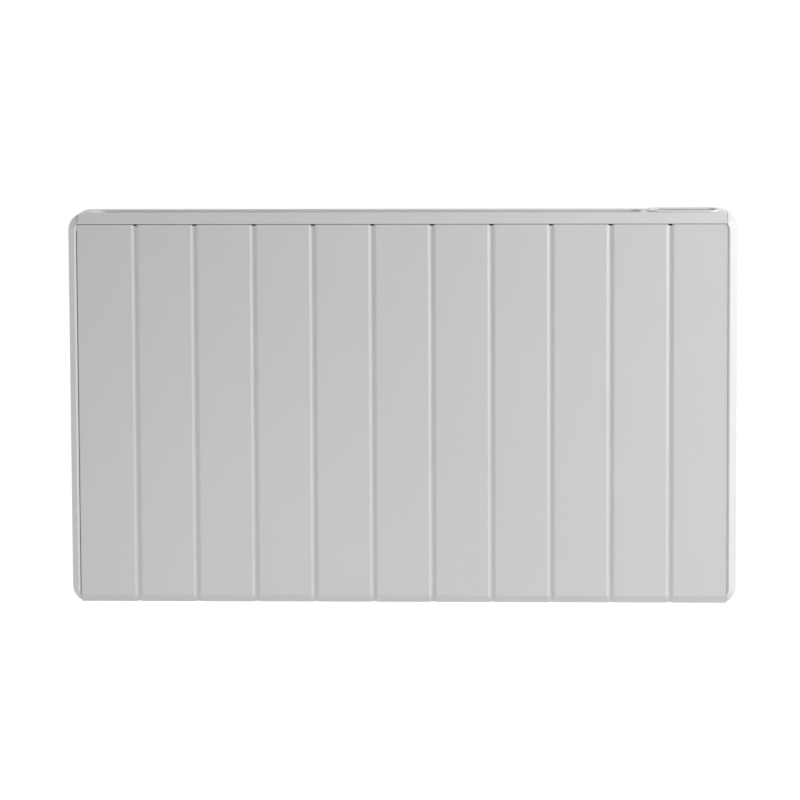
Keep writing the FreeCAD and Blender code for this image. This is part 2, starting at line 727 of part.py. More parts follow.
def outlet_grille():
    """Louvred insert on the outlet's ledge: frame, leaning blades along its length, and cross ribs."""
    body = new_body("outlet_grille")
    low = f"{TOP} - dims.outlet_depth + dims.outlet_rim"
    left, right = f"{OUTLET_LEFT} + dims.fit_gap", f"{OUTLET_RIGHT} - dims.fit_gap"
    front, rear = f"{OUTLET_FRONT} + dims.fit_gap", f"{OUTLET_REAR} - dims.fit_gap"
    corner = "dims.outlet_corner - dims.fit_gap"
    frame = sketch_on(body, "XY_Plane", "grille_frame", low)
    rectangle(frame, left, right, front, rear, corner)
    rectangle(frame, f"{left} + dims.grille_frame", f"{right} - dims.grille_frame",
              f"{front} + dims.grille_frame", f"{rear} - dims.grille_frame", f"{corner} - dims.grille_frame")
    pad(body, frame, "dims.grille_height")
    pitch = f"(({rear} - ({front})) / (dims.louvre_count + 1))"
    lean = "(dims.grille_height * tan(dims.louvre_lean) / 2)"
    thick = "(dims.louvre_gauge / cos(dims.louvre_lean) / 2)"
    first = f"({front} + {pitch})"
    top = f"{low} + dims.grille_height"
    blade = sketch_on(body, "YZ_Plane", "louvre_section", OUTLET_X)
    outline(blade, [
        (f"{first} + {lean} - {thick}", low),
        (f"{first} + {lean} + {thick}", low),
        (f"{first} - {lean} + {thick}", top),
        (f"{first} - {lean} - {thick}", top),
    ])
    blades = pad(body, blade, f"{right} - ({left}) - dims.grille_frame", both=True)
    row_of(body, [blades], "Y_Axis", pitch, "dims.louvre_count")
    rib_pitch = f"(({right} - ({left})) / (dims.grille_rib_count + 1))"
    rib = sketch_on(body, "XY_Plane", "grille_rib", low)
    centred(rib, f"({left} + {rib_pitch})", OUTLET_Y, "dims.louvre_gauge",
            f"{rear} - ({front}) - dims.grille_frame")
    ribs = pad(body, rib, "dims.grille_height * 0.6")
    row_of(body, [ribs], "X_Axis", rib_pitch, "dims.grille_rib_count")
    trim_outside(body, "XY_Plane", low, left, right, front, rear, corner)


def cap_section(sketch):
    """Plan section of an end cap, measured outwards from the centre of its corner arcs."""
    reach = "dims.corner_radius"
    inner = "(dims.corner_radius - dims.cap_reach + dims.seam_gap)"
    crest = f"({inner} + dims.cap_crest)"
    crest_y = f"({FRONT} - dims.cap_proud)"
    bevel = f"({FRONT} + dims.cap_bevel)"
    outline(sketch, [
        (inner, f"{FRONT} + dims.cap_nose"),
        (inner, f"{crest_y} + dims.cap_crest_drop"),
        (crest, crest_y),
        (reach, bevel, "dims.cap_shoulder"),
        (reach, BACK),
        (f"{reach} - dims.cap_wall", BACK),
        (f"{reach} - dims.cap_wall", f"{bevel} + dims.cap_wall / 2"),
        (f"{inner} + dims.cap_wall", f"{crest_y} + dims.cap_wall * 1.8"),
        (f"{inner} + dims.cap_wall", f"{FRONT} + dims.cap_nose"),
    ])


def cap_shell():
    """Right-hand end cap before its switch well: the section drawn up the side and round both corners."""
    body = new_body("cap_shell")
    centre = f"{SIDE} - dims.corner_radius"
    low = "sqrt(dims.corner_radius^2 - (dims.corner_radius - dims.cap_reach)^2)"
    high = f"{TOP} - dims.corner_radius"
    side = sketch_on(body, "XY_Plane", "cap_side", low, (centre, "0"))
    cap_section(side)
    pad(body, side, f"{high} - {low}")
    upper = sketch_on(body, "XY_Plane", "cap_upper", high, (centre, "0"))
    cap_section(upper)
    revolve(body, upper, "V_Axis", "90", back=True)
    lower = sketch_on(body, "XY_Plane", "cap_lower", low, (centre, "0"))
    cap_section(lower)
    revolve(body, lower, "V_Axis", "90")
    inside = sketch_on(body, "XZ_Plane", "cap_inside")
    edge = f"{PANEL_SIDE} + dims.seam_gap"
    rectangle(inside, "0", edge, f"-{TOP}", f"2 * {TOP}")
    pocket(body, inside, "4 * dims.case_width", both=True)
    bosses = sketch_on(body, "YZ_Plane", "cap_bosses", PLATE_OUT)
    for height in side_screw_heights():
        polygon(bosses, cap_boss_y(), height, "dims.boss_radius", 8)
    pad(body, bosses, f"{SIDE} - dims.cap_wall / 2 - {PLATE_OUT}")
    pilots = sketch_on(body, "YZ_Plane", "cap_pilots", PLATE_OUT)
    for height in side_screw_heights():
        polygon(pilots, cap_boss_y(), height, "dims.screw_pilot", 6)
    pocket(body, pilots, "dims.cap_screw_length + dims.fit_gap", back=True)
    return body


def block(name, left, right, front, rear, low, high):
    """A Part box between stated faces, lowered to the mount's origin."""
    box = doc.addObject("Part::Box", name)
    box.setExpression("Length", f"{right} - ({left})")
    box.setExpression("Width", f"{rear} - ({front})")
    box.setExpression("Height", f"{high} - ({low})")
    box.setExpression("Placement.Base.x", left)
    box.setExpression("Placement.Base.y", front)
    box.setExpression("Placement.Base.z", f"{low} - {MOUNT}")
    return box


def combine(kind, name, first, second):
    result = doc.addObject(f"Part::{kind}", name)
    result.Label = name
    result.Base = first
    result.Tool = second
    doc.recompute()
    return result


def switch_block(name, outer, inner, margin):
    """A box about the mains switch's axis, from one depth in the end cap to another."""
    half_y = f"(dims.switch_width / 2 + {margin})"
    half_z = f"(dims.switch_length / 2 + {margin})"
    return block(name, inner, outer, f"-dims.switch_y - {half_y}", f"-dims.switch_y + {half_y}",
                 f"dims.switch_z - {half_z}", f"dims.switch_z + {half_z}")


def end_caps():
    """The left cap is the plain shell mirrored; the right one also gets the sunken well for the mains switch."""
    shell = cap_shell()
    nodes.pop("cap_shell")
    mirrored_copy("end_cap_left", shell)
    floor = f"{SWITCH_FACE} - dims.cap_wall"
    walls = switch_block("well_walls", f"{SIDE} - dims.cap_wall / 2", floor,
                         "dims.switch_well_margin + dims.cap_wall")
    well = switch_block("well_space", f"{SIDE} + dims.cap_wall", SWITCH_FACE, "dims.switch_well_margin")
    seat = switch_block("well_seat", SIDE, f"{floor} - dims.cap_wall", "dims.fit_gap - dims.switch_rim")
    walled = combine("Fuse", "cap_with_well", shell, walls)
    sunk = combine("Cut", "cap_with_recess", walled, well)
    nodes["end_cap_right"] = combine("Cut", "end_cap_right", sunk, seat)


def rear_panel():
    """Flat steel back with pressed stiffening swages, hook and catch slots, the cord's hole and screw holes."""
    body = new_body("rear_panel")
    inset = "(dims.cap_wall + dims.seam_gap)"
    side = f"{SIDE} - {inset}"
    sheet = sketch_on(body, "XZ_Plane", "rear_sheet", REAR_FRONT)
    rectangle(sheet, f"-({side})", side, "dims.rear_edge", f"{TOP} - dims.rear_edge",
              f"dims.corner_radius - {inset}")
    pad(body, sheet, "dims.rear_gauge", back=True)
    for low in ("dims.swage_edge", f"{TOP} - dims.swage_edge"):
        outer = sketch_on(body, "XZ_Plane", "swage", REAR_BACK)
        wide = f"2 * ({SIDE} - dims.swage_margin)"
        clipped(outer, "0", low, wide, "dims.swage_height", "dims.swage_height / 3")
        pad(body, outer, "dims.swage_depth", back=True)
        inner = sketch_on(body, "XZ_Plane", "swage_hollow", REAR_FRONT)
        wall = "2 * dims.rear_gauge"
        clipped(inner, "0", low, f"{wide} - {wall}", f"dims.swage_height - {wall}", "dims.swage_height / 3 - dims.rear_gauge / 2")
        pocket(body, inner, "dims.swage_depth")
    openings = sketch_on(body, "XZ_Plane", "rear_openings", REAR_FRONT)
    for sign in ("-", ""):
        across = f"{sign}dims.upright_x"
        slot_low = f"{HOOK_Z} + dims.bracket_gauge + dims.fit_gap - dims.hook_slot"
        wide = "(dims.hook_width + 4) / 2"
        rectangle(openings, f"{across} - {wide}", f"{across} + {wide}", slot_low, f"{slot_low} + dims.hook_slot")
        centred(openings, across, LATCH_Z, "dims.latch_head_tall + 2", "2 * dims.latch_head_half + 3")
        edge = f"({PLATE_IN} - dims.frame_flange / 2)"
        for height in rear_screw_heights():
            polygon(openings, f"{sign}{edge}", height, "dims.screw_hole", 6)
    polygon(openings, SERVICE_X, "dims.gland_z", "dims.gland_radius + dims.bush_gap", 12)
    pocket(body, openings, both=True)


def rear_screw_heights():
    return ("dims.rear_screw_edge", "dims.case_height / 2", "dims.case_height - dims.rear_screw_edge")


def base_grille():
    """Slotted air inlet under the radiator, with turned-up edges and end tabs against the end plates."""
    body = new_body("base_grille")
    front = f"{LIP_BACK} + (dims.groove_depth + dims.panel_gauge) * cos(dims.lip_angle) + dims.fit_gap"
    rear = f"{REAR_FRONT} - dims.fit_gap"
    low = "dims.base_lift"
    plate = sketch_on(body, "XY_Plane", "base_plate", low)
    rectangle(plate, f"-{PLATE_IN}", PLATE_IN, front, rear)
    pad(body, plate, "dims.base_gauge")
    edges = sketch_on(body, "XY_Plane", "base_edges", low)
    rectangle(edges, f"-{PLATE_IN}", PLATE_IN, front, f"{front} + dims.base_gauge")
    rectangle(edges, f"-{PLATE_IN}", PLATE_IN, f"{rear} - dims.base_gauge", rear)
    pad(body, edges, "dims.base_flange")
    tabs = sketch_on(body, "XY_Plane", "base_tabs", low)
    inner = f"({PLATE_IN} - dims.base_gauge)"
    rectangle(tabs, inner, PLATE_IN, f"{front} + dims.base_flange", f"{rear} - dims.base_flange")
    rectangle(tabs, f"-{PLATE_IN}", f"-{inner}", f"{front} + dims.base_flange", f"{rear} - dims.base_flange")
    pad(body, tabs, "dims.base_tab")
    pitch = f"(2 * {PLATE_IN} / (dims.inlet_columns + 1))"
    middle = f"(({front} + {rear}) / 2)"
    slots = sketch_on(body, "XY_Plane", "inlet_slot", low)
    first_y = f"({middle} - dims.inlet_row_pitch * (dims.inlet_rows - 1) / 2)"
    centred(slots, f"(-{PLATE_IN} + {pitch})", first_y, "dims.inlet_slot_length", "dims.inlet_slot_width")
    slot = pocket(body, slots, both=True)
    grid = body.newObject("PartDesign::LinearPattern", "inlet_grid")
    grid.Originals = [slot]
    grid.Direction = (origin_feature(body, "X_Axis"), [""])
    grid.setExpression("Length", f"{pitch} * (dims.inlet_columns - 1)")
    grid.setExpression("Occurrences", "dims.inlet_columns")
    grid.Direction2 = (origin_feature(body, "Y_Axis"), [""])
    grid.setExpression("Length2", "dims.inlet_row_pitch * (dims.inlet_rows - 1)")
    grid.setExpression("Occurrences2", "dims.inlet_rows")
    body.Tip = grid
    doc.recompute()


def end_plates():
    """Steel end plates inside the front panel's returns, flanged at the back to carry the rear panel."""
    body = new_body("end_plate_right")
    section = sketch_on(body, "XY_Plane", "end_plate_section", "dims.frame_margin")
    front = f"{FRONT} + dims.frame_setback"
    inner = f"{PLATE_IN} - dims.frame_flange"
    outline(section, [
        (PLATE_OUT, front),
        (PLATE_OUT, REAR_FRONT),
        (inner, REAR_FRONT),
        (inner, SHIELD_BACK),
        (PLATE_IN, SHIELD_BACK),
        (PLATE_IN, front),
    ])
    pad(body, section, f"{PANEL_TOP} - 2 * dims.frame_margin / 3 - dims.frame_margin")
    holes = sketch_on(body, "YZ_Plane", "side_holes", PLATE_IN)
    for height in side_screw_heights():
        polygon(holes, cap_boss_y(), height, "dims.screw_hole", 6)
    half_y, half_z = "dims.switch_width / 2", "dims.switch_length / 2"
    rectangle(holes, f"-dims.switch_y - {half_y}", f"-dims.switch_y + {half_y}",
              f"dims.switch_z - {half_z}", f"dims.switch_z + {half_z}")
    pocket(body, holes, both=True)
    rear_holes = sketch_on(body, "XZ_Plane", "rear_holes", REAR_FRONT)
    for height in rear_screw_heights():
        polygon(rear_holes, f"{PLATE_IN} - dims.frame_flange / 2", height, "dims.screw_hole", 6)
    pocket(body, rear_holes, "4 * dims.frame_gauge", both=True)
    mirrored_copy("end_plate_left", body)


def rail(label, low):
    """Channel between the end plates that holds the radiant layers against the back of the flutes."""
    body = new_body(label)
    section = sketch_on(body, "YZ_Plane", "rail_section")
    high = f"{low} + dims.rail_height"
    gauge = "dims.frame_gauge"
    outline(section, [
        (RAIL_FRONT, low),
        (RAIL_BACK, low),
        (RAIL_BACK, f"{low} + {gauge}"),
        (f"{RAIL_FRONT} + {gauge}", f"{low} + {gauge}"),
        (f"{RAIL_FRONT} + {gauge}", f"{high} - {gauge}"),
        (RAIL_BACK, f"{high} - {gauge}"),
        (RAIL_BACK, high),
        (RAIL_FRONT, high),
    ])
    pad(body, section, f"2 * {PLATE_IN}", both=True)


def radiant_layer(label, front, thickness, margin):
    """One flat layer of the radiant pack behind the front panel."""
    body = new_body(label)
    sheet = sketch_on(body, "XZ_Plane", label + "_sheet", front)
    side = f"({PANEL_SIDE} - dims.radiant_side - {margin})"
    rectangle(sheet, f"-{side}", side, f"dims.radiant_low + {margin}",
              f"{PANEL_TOP} - dims.radiant_high - {margin}")
    pad(body, sheet, thickness, back=True)
    return body


def heating_film():
    """Resistive film cut into one back-and-forth track by slots from both edges."""
    body = radiant_layer("heating_film", FILM_FRONT, "dims.film_gauge", "dims.film_margin")
    low = "(dims.radiant_low + dims.film_margin)"
    high = f"({PANEL_TOP} - dims.radiant_high - dims.film_margin)"
    side = f"({PANEL_SIDE} - dims.radiant_side - dims.film_margin)"
    pitch = f"(2 * {side} / (2 * dims.film_slot_count))"
    reach = f"{high} - {low} - 2 * {pitch} / 3"
    for start, bottom in ((f"(-{side} + {pitch} / 2)", low), (f"(-{side} + {pitch} * 3 / 2)", f"{high} - ({reach})")):
        slot = sketch_on(body, "XZ_Plane", "film_slot", FILM_FRONT)
        half = "dims.film_slot_width / 2"
        rectangle(slot, f"{start} - {half}", f"{start} + {half}", bottom, f"{bottom} + {reach}")
        cut = pocket(body, slot, both=True)
        row_of(body, [cut], "X_Axis", f"2 * {pitch}", "dims.film_slot_count")


def convector_element():
    """Extruded aluminium X fin with a sheathed rod through its core and a terminal pin at each end."""
    body = new_body("convector_element")
    wide, tall = "dims.element_half_depth", "dims.element_half_height"
    core, tip = "dims.element_core", "dims.element_tip"
    fin = sketch_on(body, "YZ_Plane", "fin_section", ELEMENT_X, (ELEMENT_Y, "dims.element_height"))
    outline(fin, [
        (core, "0"),
        (f"{wide} + {tip}", f"{tall} - {tip}"),
        (f"{wide} - {tip}", f"{tall} + {tip}"),
        ("0", f"1.5 * {core}"),
        (f"-{wide} + {tip}", f"{tall} + {tip}"),
        (f"-{wide} - {tip}", f"{tall} - {tip}"),
        (f"-{core}", "0"),
        (f"-{wide} - {tip}", f"-{tall} + {tip}"),
        (f"-{wide} + {tip}", f"-{tall} - {tip}"),
        ("0", f"-1.5 * {core}"),
        (f"{wide} - {tip}", f"-{tall} - {tip}"),
        (f"{wide} + {tip}", f"-{tall} + {tip}"),
    ])
    length = f"({ELEMENT_RIGHT} - {ELEMENT_LEFT})"
    pad(body, fin, length, both=True)
    rod = sketch_on(body, "YZ_Plane", "sheath", ELEMENT_X, (ELEMENT_Y, "dims.element_height"))
    polygon(rod, "0", "0", "dims.sheath_radius", 10)
    pad(body, rod, f"{length} + 2 * dims.sheath_stub", both=True)
    pins = sketch_on(body, "YZ_Plane", "terminal_pins", ELEMENT_X, (ELEMENT_Y, "dims.element_height"))
    polygon(pins, "0", "0", "dims.pin_radius", 6)
    pad(body, pins, f"{length} + 2 * dims.sheath_stub + 2 * dims.pin_length", both=True)


def element_supports():
    """A bracket on the heat shield at each end of the element, with a ceramic bush for its rod."""
    bracket_x = f"({ELEMENT_RIGHT} + dims.element_bracket_gap)"
    gauge = "dims.element_bracket_gauge"
    half = "dims.element_bracket_half"
    body = new_body("element_bracket_right")
    section = sketch_on(body, "XY_Plane", "bracket_section", f"dims.element_height - {half}")
    outline(section, [
        (bracket_x, f"{ELEMENT_Y} - {half}"),
        (f"{bracket_x} + {gauge}", f"{ELEMENT_Y} - {half}"),
        (f"{bracket_x} + {gauge}", f"{SHIELD_FRONT} - {gauge}"),
        (f"{bracket_x} + {half}", f"{SHIELD_FRONT} - {gauge}"),
        (f"{bracket_x} + {half}", SHIELD_FRONT),
        (bracket_x, SHIELD_FRONT),
    ])
    pad(body, section, f"2 * {half}")
    hole = sketch_on(body, "YZ_Plane", "bush_hole", bracket_x)
    polygon(hole, ELEMENT_Y, "dims.element_height", "dims.bush_radius + dims.bush_gap", 10)
    pocket(body, hole, both=True)
    mirrored_copy("element_bracket_left", body, ELEMENT_X)
    bushes = new_body("element_bushes", many=True)
    for middle in (f"{bracket_x} + {gauge} / 2", f"2 * {ELEMENT_X} - {bracket_x} - {gauge} / 2"):
        ring = sketch_on(bushes, "YZ_Plane", "bush", middle)
        polygon(ring, ELEMENT_Y, "dims.element_height", "dims.bush_radius", 10)
        polygon(ring, ELEMENT_Y, "dims.element_height", "dims.sheath_radius + dims.bush_gap", 10)
        pad(bushes, ring, "dims.bush_length", both=True)


def heat_shield():
    """Reflector sheet on the end plates' flanges, with windows where the bracket's hooks and catches reach in."""
    body = new_body("heat_shield")
    sheet = sketch_on(body, "XZ_Plane", "shield_sheet", SHIELD_BACK)
    side = f"({PANEL_SIDE} - dims.shield_side)"
    rectangle(sheet, f"-{side}", side, "dims.shield_low", f"{TOP} - dims.shield_high")
    for sign in ("-", ""):
        for height in (HOOK_Z, LATCH_Z):
            centred(sheet, f"{sign}dims.upright_x", height, "dims.shield_window", "dims.shield_window")
    pad(body, sheet, "dims.shield_gauge")


def overheat_cutout():
    """Bimetal safety cut-out clamped on the heat shield, with two flat terminals."""
    body = new_body("overheat_cutout")
    flange = sketch_on(body, "XZ_Plane", "cutout_flange", SHIELD_FRONT)
    clipped(flange, "dims.cutout_x", "dims.cutout_z", "3.4 * dims.cutout_radius", "1.2 * dims.cutout_radius",
            "dims.cutout_radius / 3")
    pad(body, flange, "dims.shield_gauge")
    disc = sketch_on(body, "XZ_Plane", "cutout_disc", SHIELD_FRONT)
    polygon(disc, "dims.cutout_x", "dims.cutout_z", "dims.cutout_radius", 16)
    pad(body, disc, "dims.cutout_height")
    blades = sketch_on(body, "XZ_Plane", "cutout_blades", f"{SHIELD_FRONT} - dims.cutout_height")
    for sign in ("-", "+"):
        across = f"dims.cutout_x {sign} dims.cutout_radius / 2"
        centred(blades, across, "dims.cutout_z", "dims.shield_gauge", "dims.cutout_radius * 0.8")
    pad(body, blades, "dims.cutout_height * 0.8")


def bezel_ring(sketch, inset):
    rectangle(sketch, f"{BEZEL_LEFT} + {inset}", f"{BEZEL_RIGHT} - {inset}", f"{BEZEL_FRONT} + {inset}",
              f"{BEZEL_REAR} - {inset}", f"dims.bezel_corner - {inset}")


def control_bezel():
    """Raised rim round the sunken controls: a drafted ring on the deck with a skirt down through its hole."""
    body = new_body("control_bezel")
    skirt_out = "(dims.bezel_rim - dims.bezel_lip - dims.bezel_skirt)"
    skirt_in = "(dims.bezel_rim - dims.bezel_lip)"
    ring = sketch_on(body, "XY_Plane", "bezel_ring", TOP)
    bezel_ring(ring, "0")
    pad(body, ring, "dims.bezel_rise", draft="-dims.bezel_draft")
    neck = sketch_on(body, "XY_Plane", "bezel_neck", TOP)
    bezel_ring(neck, skirt_out)
    pad(body, neck, "dims.bezel_skirt_drop", back=True)
    recess = sketch_on(body, "XY_Plane", "bezel_recess", f"{TOP} + dims.bezel_rise")
    bezel_ring(recess, "dims.bezel_rim")
    opening = pocket(body, recess)
    rim = "dims.bezel_rim"
    bevel(body, "bezel_ease", opening, "dims.bezel_ease",
          edges_within(opening.Shape, f"{TOP} + dims.bezel_rise", f"{BEZEL_LEFT} + {rim}", f"{BEZEL_RIGHT} - {rim}",
                       f"{BEZEL_FRONT} + {rim}", f"{BEZEL_REAR} - {rim}"))
    seat = sketch_on(body, "XY_Plane", "fascia_seat", FASCIA_TOP)
    bezel_ring(seat, skirt_in)
    pocket(body, seat, "dims.bezel_skirt_drop")


def button_x(index):
    return f"({CONTROL_X} + ({index} - 2) * dims.button_pitch)"


def control_fascia():
    """Plate in the bezel with the display's opening and one hole for each button."""
    body = new_body("control_fascia")
    plate = sketch_on(body, "XY_Plane", "fascia_plate", FASCIA_LOW)
    bezel_ring(plate, "(dims.bezel_rim - dims.bezel_lip + dims.fit_gap)")
    clipped(plate, CONTROL_X, WINDOW_Y, "dims.window_length + 2 * dims.button_gap",
            "dims.window_depth + 2 * dims.button_gap", "dims.button_corner")
    for index in range(5):
        clipped(plate, button_x(index), BUTTON_Y, "dims.button_length + 2 * dims.button_gap",
                "dims.button_depth + 2 * dims.button_gap", "dims.button_corner")
    pad(body, plate, "dims.fascia_thick")


def buttons():
    """Five push buttons, each held under the fascia by its own flange."""
    for index, name in enumerate(("standby", "back", "down", "up", "enter")):
        body = new_body(f"button_{name}")
        flange = sketch_on(body, "XY_Plane", "button_flange", FLANGE_LOW)
        clipped(flange, button_x(index), BUTTON_Y, "dims.button_length + 2", "dims.button_depth + 2",
                "dims.button_corner")
        pad(body, flange, "dims.button_flange")
        key = sketch_on(body, "XY_Plane", "button_key", FLANGE_LOW)
        clipped(key, button_x(index), BUTTON_Y, "dims.button_length", "dims.button_depth", "dims.button_corner")
        crown = pad(body, key, f"{FASCIA_TOP} + dims.button_proud - {FLANGE_LOW}")
        eased = body.newObject("PartDesign::Chamfer", "button_crown")
        eased.Base = (crown, edges_at_top(crown.Shape))
        eased.setExpression("Size", "dims.button_crown")
        doc.recompute()


def edges_at_top(shape):
    """Names of the edges that lie in the shape's highest plane."""
    top = shape.BoundBox.ZMax
    return [f"Edge{number}" for number, edge in enumerate(shape.Edges, start=1)
            if abs(edge.BoundBox.ZMin - top) < 1e-6]


def display():
    """Clear window flush in the fascia over the display module, which stands on the control board."""
    pane = new_body("display_window")
    glass = sketch_on(pane, "XY_Plane", "window_pane", FASCIA_LOW)
    clipped(glass, CONTROL_X, WINDOW_Y, "dims.window_length", "dims.window_depth", "dims.button_corner")
    pad(pane, glass, "dims.fascia_thick")
    module = new_body("display_module")
    case = sketch_on(module, "XY_Plane", "module_case", BOARD_TOP)
    centred(case, CONTROL_X, WINDOW_Y, "dims.window_length + 4", "dims.window_depth + 4")
    pad(module, case, f"{FASCIA_LOW} - {BOARD_TOP}")


def board_corners():
    """Centres of the control board's four screws."""
    inset = "(dims.board_margin + dims.box_wall + dims.box_boss_inset)"
    left = f"({BOX_LEFT} + {inset})"
    right = f"({BEZEL_RIGHT} - dims.bezel_rim - dims.box_boss_inset)"
    front = f"({BOX_FRONT} + {inset} - dims.board_margin)"
    rear = f"({BOX_REAR} - {inset} + dims.board_margin)"
    return [(left, front), (right, front), (right, rear), (left, rear)]


def control_board():
    """Printed board under the buttons, with one tact switch below each of them."""
    body = new_body("control_board")
    board = sketch_on(body, "XY_Plane", "board_outline", BOARD_LOW)
    inset = "(dims.bezel_rim - dims.bezel_lip + dims.board_margin)"
    rectangle(board, f"{BEZEL_LEFT} + {inset}", f"{BEZEL_RIGHT} - {inset}", f"{BEZEL_FRONT} + {inset}",
              f"{BEZEL_REAR} - {inset}")
    for across, along in board_corners():
        polygon(board, across, along, "dims.screw_hole", 6)
    pad(body, board, "dims.board_gauge")
    switches = new_body("tact_switches", many=True)
    cases = sketch_on(switches, "XY_Plane", "tact_cases", BOARD_TOP)
    for index in range(5):
        centred(cases, button_x(index), BUTTON_Y, "dims.tact_size", "dims.tact_size")
    pad(switches, cases, "dims.tact_height")


def electronics_box():
    """Open-topped moulding on the right end plate that carries both boards."""
    body = new_body("electronics_box")
    shell = sketch_on(body, "XY_Plane", "box_outline", BOX_LOW)
    rectangle(shell, BOX_LEFT, BOX_RIGHT, BOX_FRONT, BOX_REAR)
    pad(body, shell, "dims.box_height")
    space = sketch_on(body, "XY_Plane", "box_space", BOARD_LOW)
    wall = "dims.box_wall"
    rectangle(space, f"{BOX_LEFT} + {wall}", f"{BOX_RIGHT} - {wall}", f"{BOX_FRONT} + {wall}", f"{BOX_REAR} - {wall}")
    pocket(body, space, f"dims.box_height - {wall}")
    posts = sketch_on(body, "XY_Plane", "box_posts", BOARD_LOW)
    for across, along in board_corners():
        polygon(posts, across, along, "dims.box_boss", 8)
    pad(body, posts, f"dims.box_height - {wall}", back=True)
    pilots = sketch_on(body, "XY_Plane", "post_pilots", BOARD_LOW)
    for across, along in board_corners():
        polygon(pilots, across, along, "dims.screw_pilot", 6)
    pocket(body, pilots, "dims.board_screw_length + dims.fit_gap")
    entry = sketch_on(body, "XY_Plane", "lead_entry", BOX_LOW)
    polygon(entry, f"({ELEMENT_RIGHT} + dims.sheath_stub + dims.pin_length + dims.lead_run)", ELEMENT_Y,
            "2 * dims.lead_radius", 8)
    pocket(body, entry, "2 * dims.box_wall", back=True)
    relief = sketch_on(body, "YZ_Plane", "screw_relief", BOX_RIGHT)
    polygon(relief, cap_boss_y(), side_screw_heights()[2], "dims.screw_head * 1.2", 8)
    pocket(body, relief, "1.5 * dims.box_wall")


def power_board():
    """Upright power board on the box's floor, with its relay in front and a finned heat sink behind."""
    floor = f"({BOX_LOW} + dims.box_wall)"
    middle = f"(({BOX_FRONT} + {BOX_REAR}) / 2 - dims.relay_depth / 4)"
    left = f"({BOX_LEFT} + dims.box_wall + dims.fit_gap)"
    right = f"({BOX_RIGHT} - dims.box_wall - dims.fit_gap)"
    low = f"({floor} + dims.power_board_height / 2)"
    body = new_body("power_board")
    board = sketch_on(body, "XZ_Plane", "power_outline", middle)
    rectangle(board, left, right, floor, f"{floor} + dims.power_board_height")
    pad(body, board, "dims.board_gauge")
    relay = new_body("power_relay")
    case = sketch_on(relay, "XZ_Plane", "relay_case", f"{middle} - dims.board_gauge")
    centred(case, f"({right} - dims.relay_length * 2)", low, "dims.relay_length", "dims.relay_height")
    pad(relay, case, "dims.relay_depth")
    sink = new_body("heat_sink")
    base = sketch_on(sink, "XZ_Plane", "sink_base", middle)
    sink_x = f"({right} - dims.relay_length * 2)"
    centred(base, sink_x, low, "dims.sink_length", "dims.sink_height")
    pad(sink, base, "dims.sink_depth / 4", back=True)
    fin = sketch_on(sink, "XZ_Plane", "sink_fin", middle)
    pitch = "((dims.sink_length - dims.board_gauge) / (dims.sink_fin_count - 1))"
    centred(fin, f"({sink_x} - dims.sink_length / 2 + dims.board_gauge / 2)", low, "dims.board_gauge",
            "dims.sink_height")
    fins = pad(sink, fin, "dims.sink_depth", back=True)
    row_of(sink, [fins], "X_Axis", pitch, "dims.sink_fin_count")


def terminal_block():
    """Mains terminals on the heat shield: a moulded block with three wells and wire entries below."""
    body = new_body("terminal_block")
    case = sketch_on(body, "XZ_Plane", "terminal_case", SHIELD_FRONT)
    centred(case, SERVICE_X, "dims.terminal_z", "dims.terminal_length", "dims.terminal_height")
    pad(body, case, "dims.terminal_depth")
    wells = sketch_on(body, "XZ_Plane", "terminal_wells", f"{SHIELD_FRONT} - dims.terminal_depth")
    entries = sketch_on(body, "XY_Plane", "terminal_entries", "dims.terminal_z - dims.terminal_height / 2")
    for step in (-1, 0, 1):
        across = f"{SERVICE_X} + {step} * dims.terminal_length / 3.4"
        polygon(wells, across, "dims.terminal_z", "dims.terminal_height / 5", 8)
        polygon(entries, across, f"{SHIELD_FRONT} - dims.terminal_depth / 2", "dims.terminal_height / 7", 8)
    pocket(body, wells, "dims.terminal_depth / 3")
    pocket(body, entries, "dims.terminal_height / 2", back=True)


def cable_gland():
    """Cord inlet through the rear panel: a flanged sleeve and its hexagon nut, with an open bore."""
    body = new_body("cable_gland")
    head = sketch_on(body, "XZ_Plane", "gland_head", f"{REAR_BACK} + dims.gland_head")
    polygon(head, SERVICE_X, "dims.gland_z", "dims.gland_flange", 6)
    pad(body, head, "dims.gland_head")
    tail = sketch_on(body, "XZ_Plane", "gland_tail", REAR_BACK)
    polygon(tail, SERVICE_X, "dims.gland_z", "dims.gland_radius", 12)
    pad(body, tail, "dims.rear_gauge + dims.gland_tail")
    nut = sketch_on(body, "XZ_Plane", "gland_nut", REAR_FRONT)
    polygon(nut, SERVICE_X, "dims.gland_z", "dims.gland_nut", 6)
    pad(body, nut, "dims.gland_nut_thick")
    bore = sketch_on(body, "XZ_Plane", "gland_bore", f"{REAR_BACK} + dims.gland_head")
    circle(bore, SERVICE_X, "dims.gland_z", "dims.gland_bore")
    pocket(body, bore, back=True)


def room_sensor():
    """Temperature probe in a clip on the air inlet, where the room's air comes in."""
    across = f"({SIDE} - dims.sensor_margin)"
    along = f"(({LIP_BACK} + {REAR_FRONT}) / 2)"
    floor = "(dims.base_lift + dims.base_gauge)"
    centre_z = f"({floor} + dims.holder_height - dims.holder_half)"
    holder = new_body("sensor_holder")
    clip = sketch_on(holder, "XZ_Plane", "holder_face", along)
    rectangle(clip, f"{across} - dims.holder_half", f"{across} + dims.holder_half", floor,
              f"{floor} + dims.holder_height")
    polygon(clip, across, centre_z, "dims.sensor_radius + dims.bush_gap", 8)
    pad(holder, clip, "dims.sensor_length / 2", both=True)
    probe = new_body("room_sensor")
    bulb = sketch_on(probe, "XZ_Plane", "probe", along)
    polygon(bulb, across, centre_z, "dims.sensor_radius", 8)
    pad(probe, bulb, "dims.sensor_length", both=True)


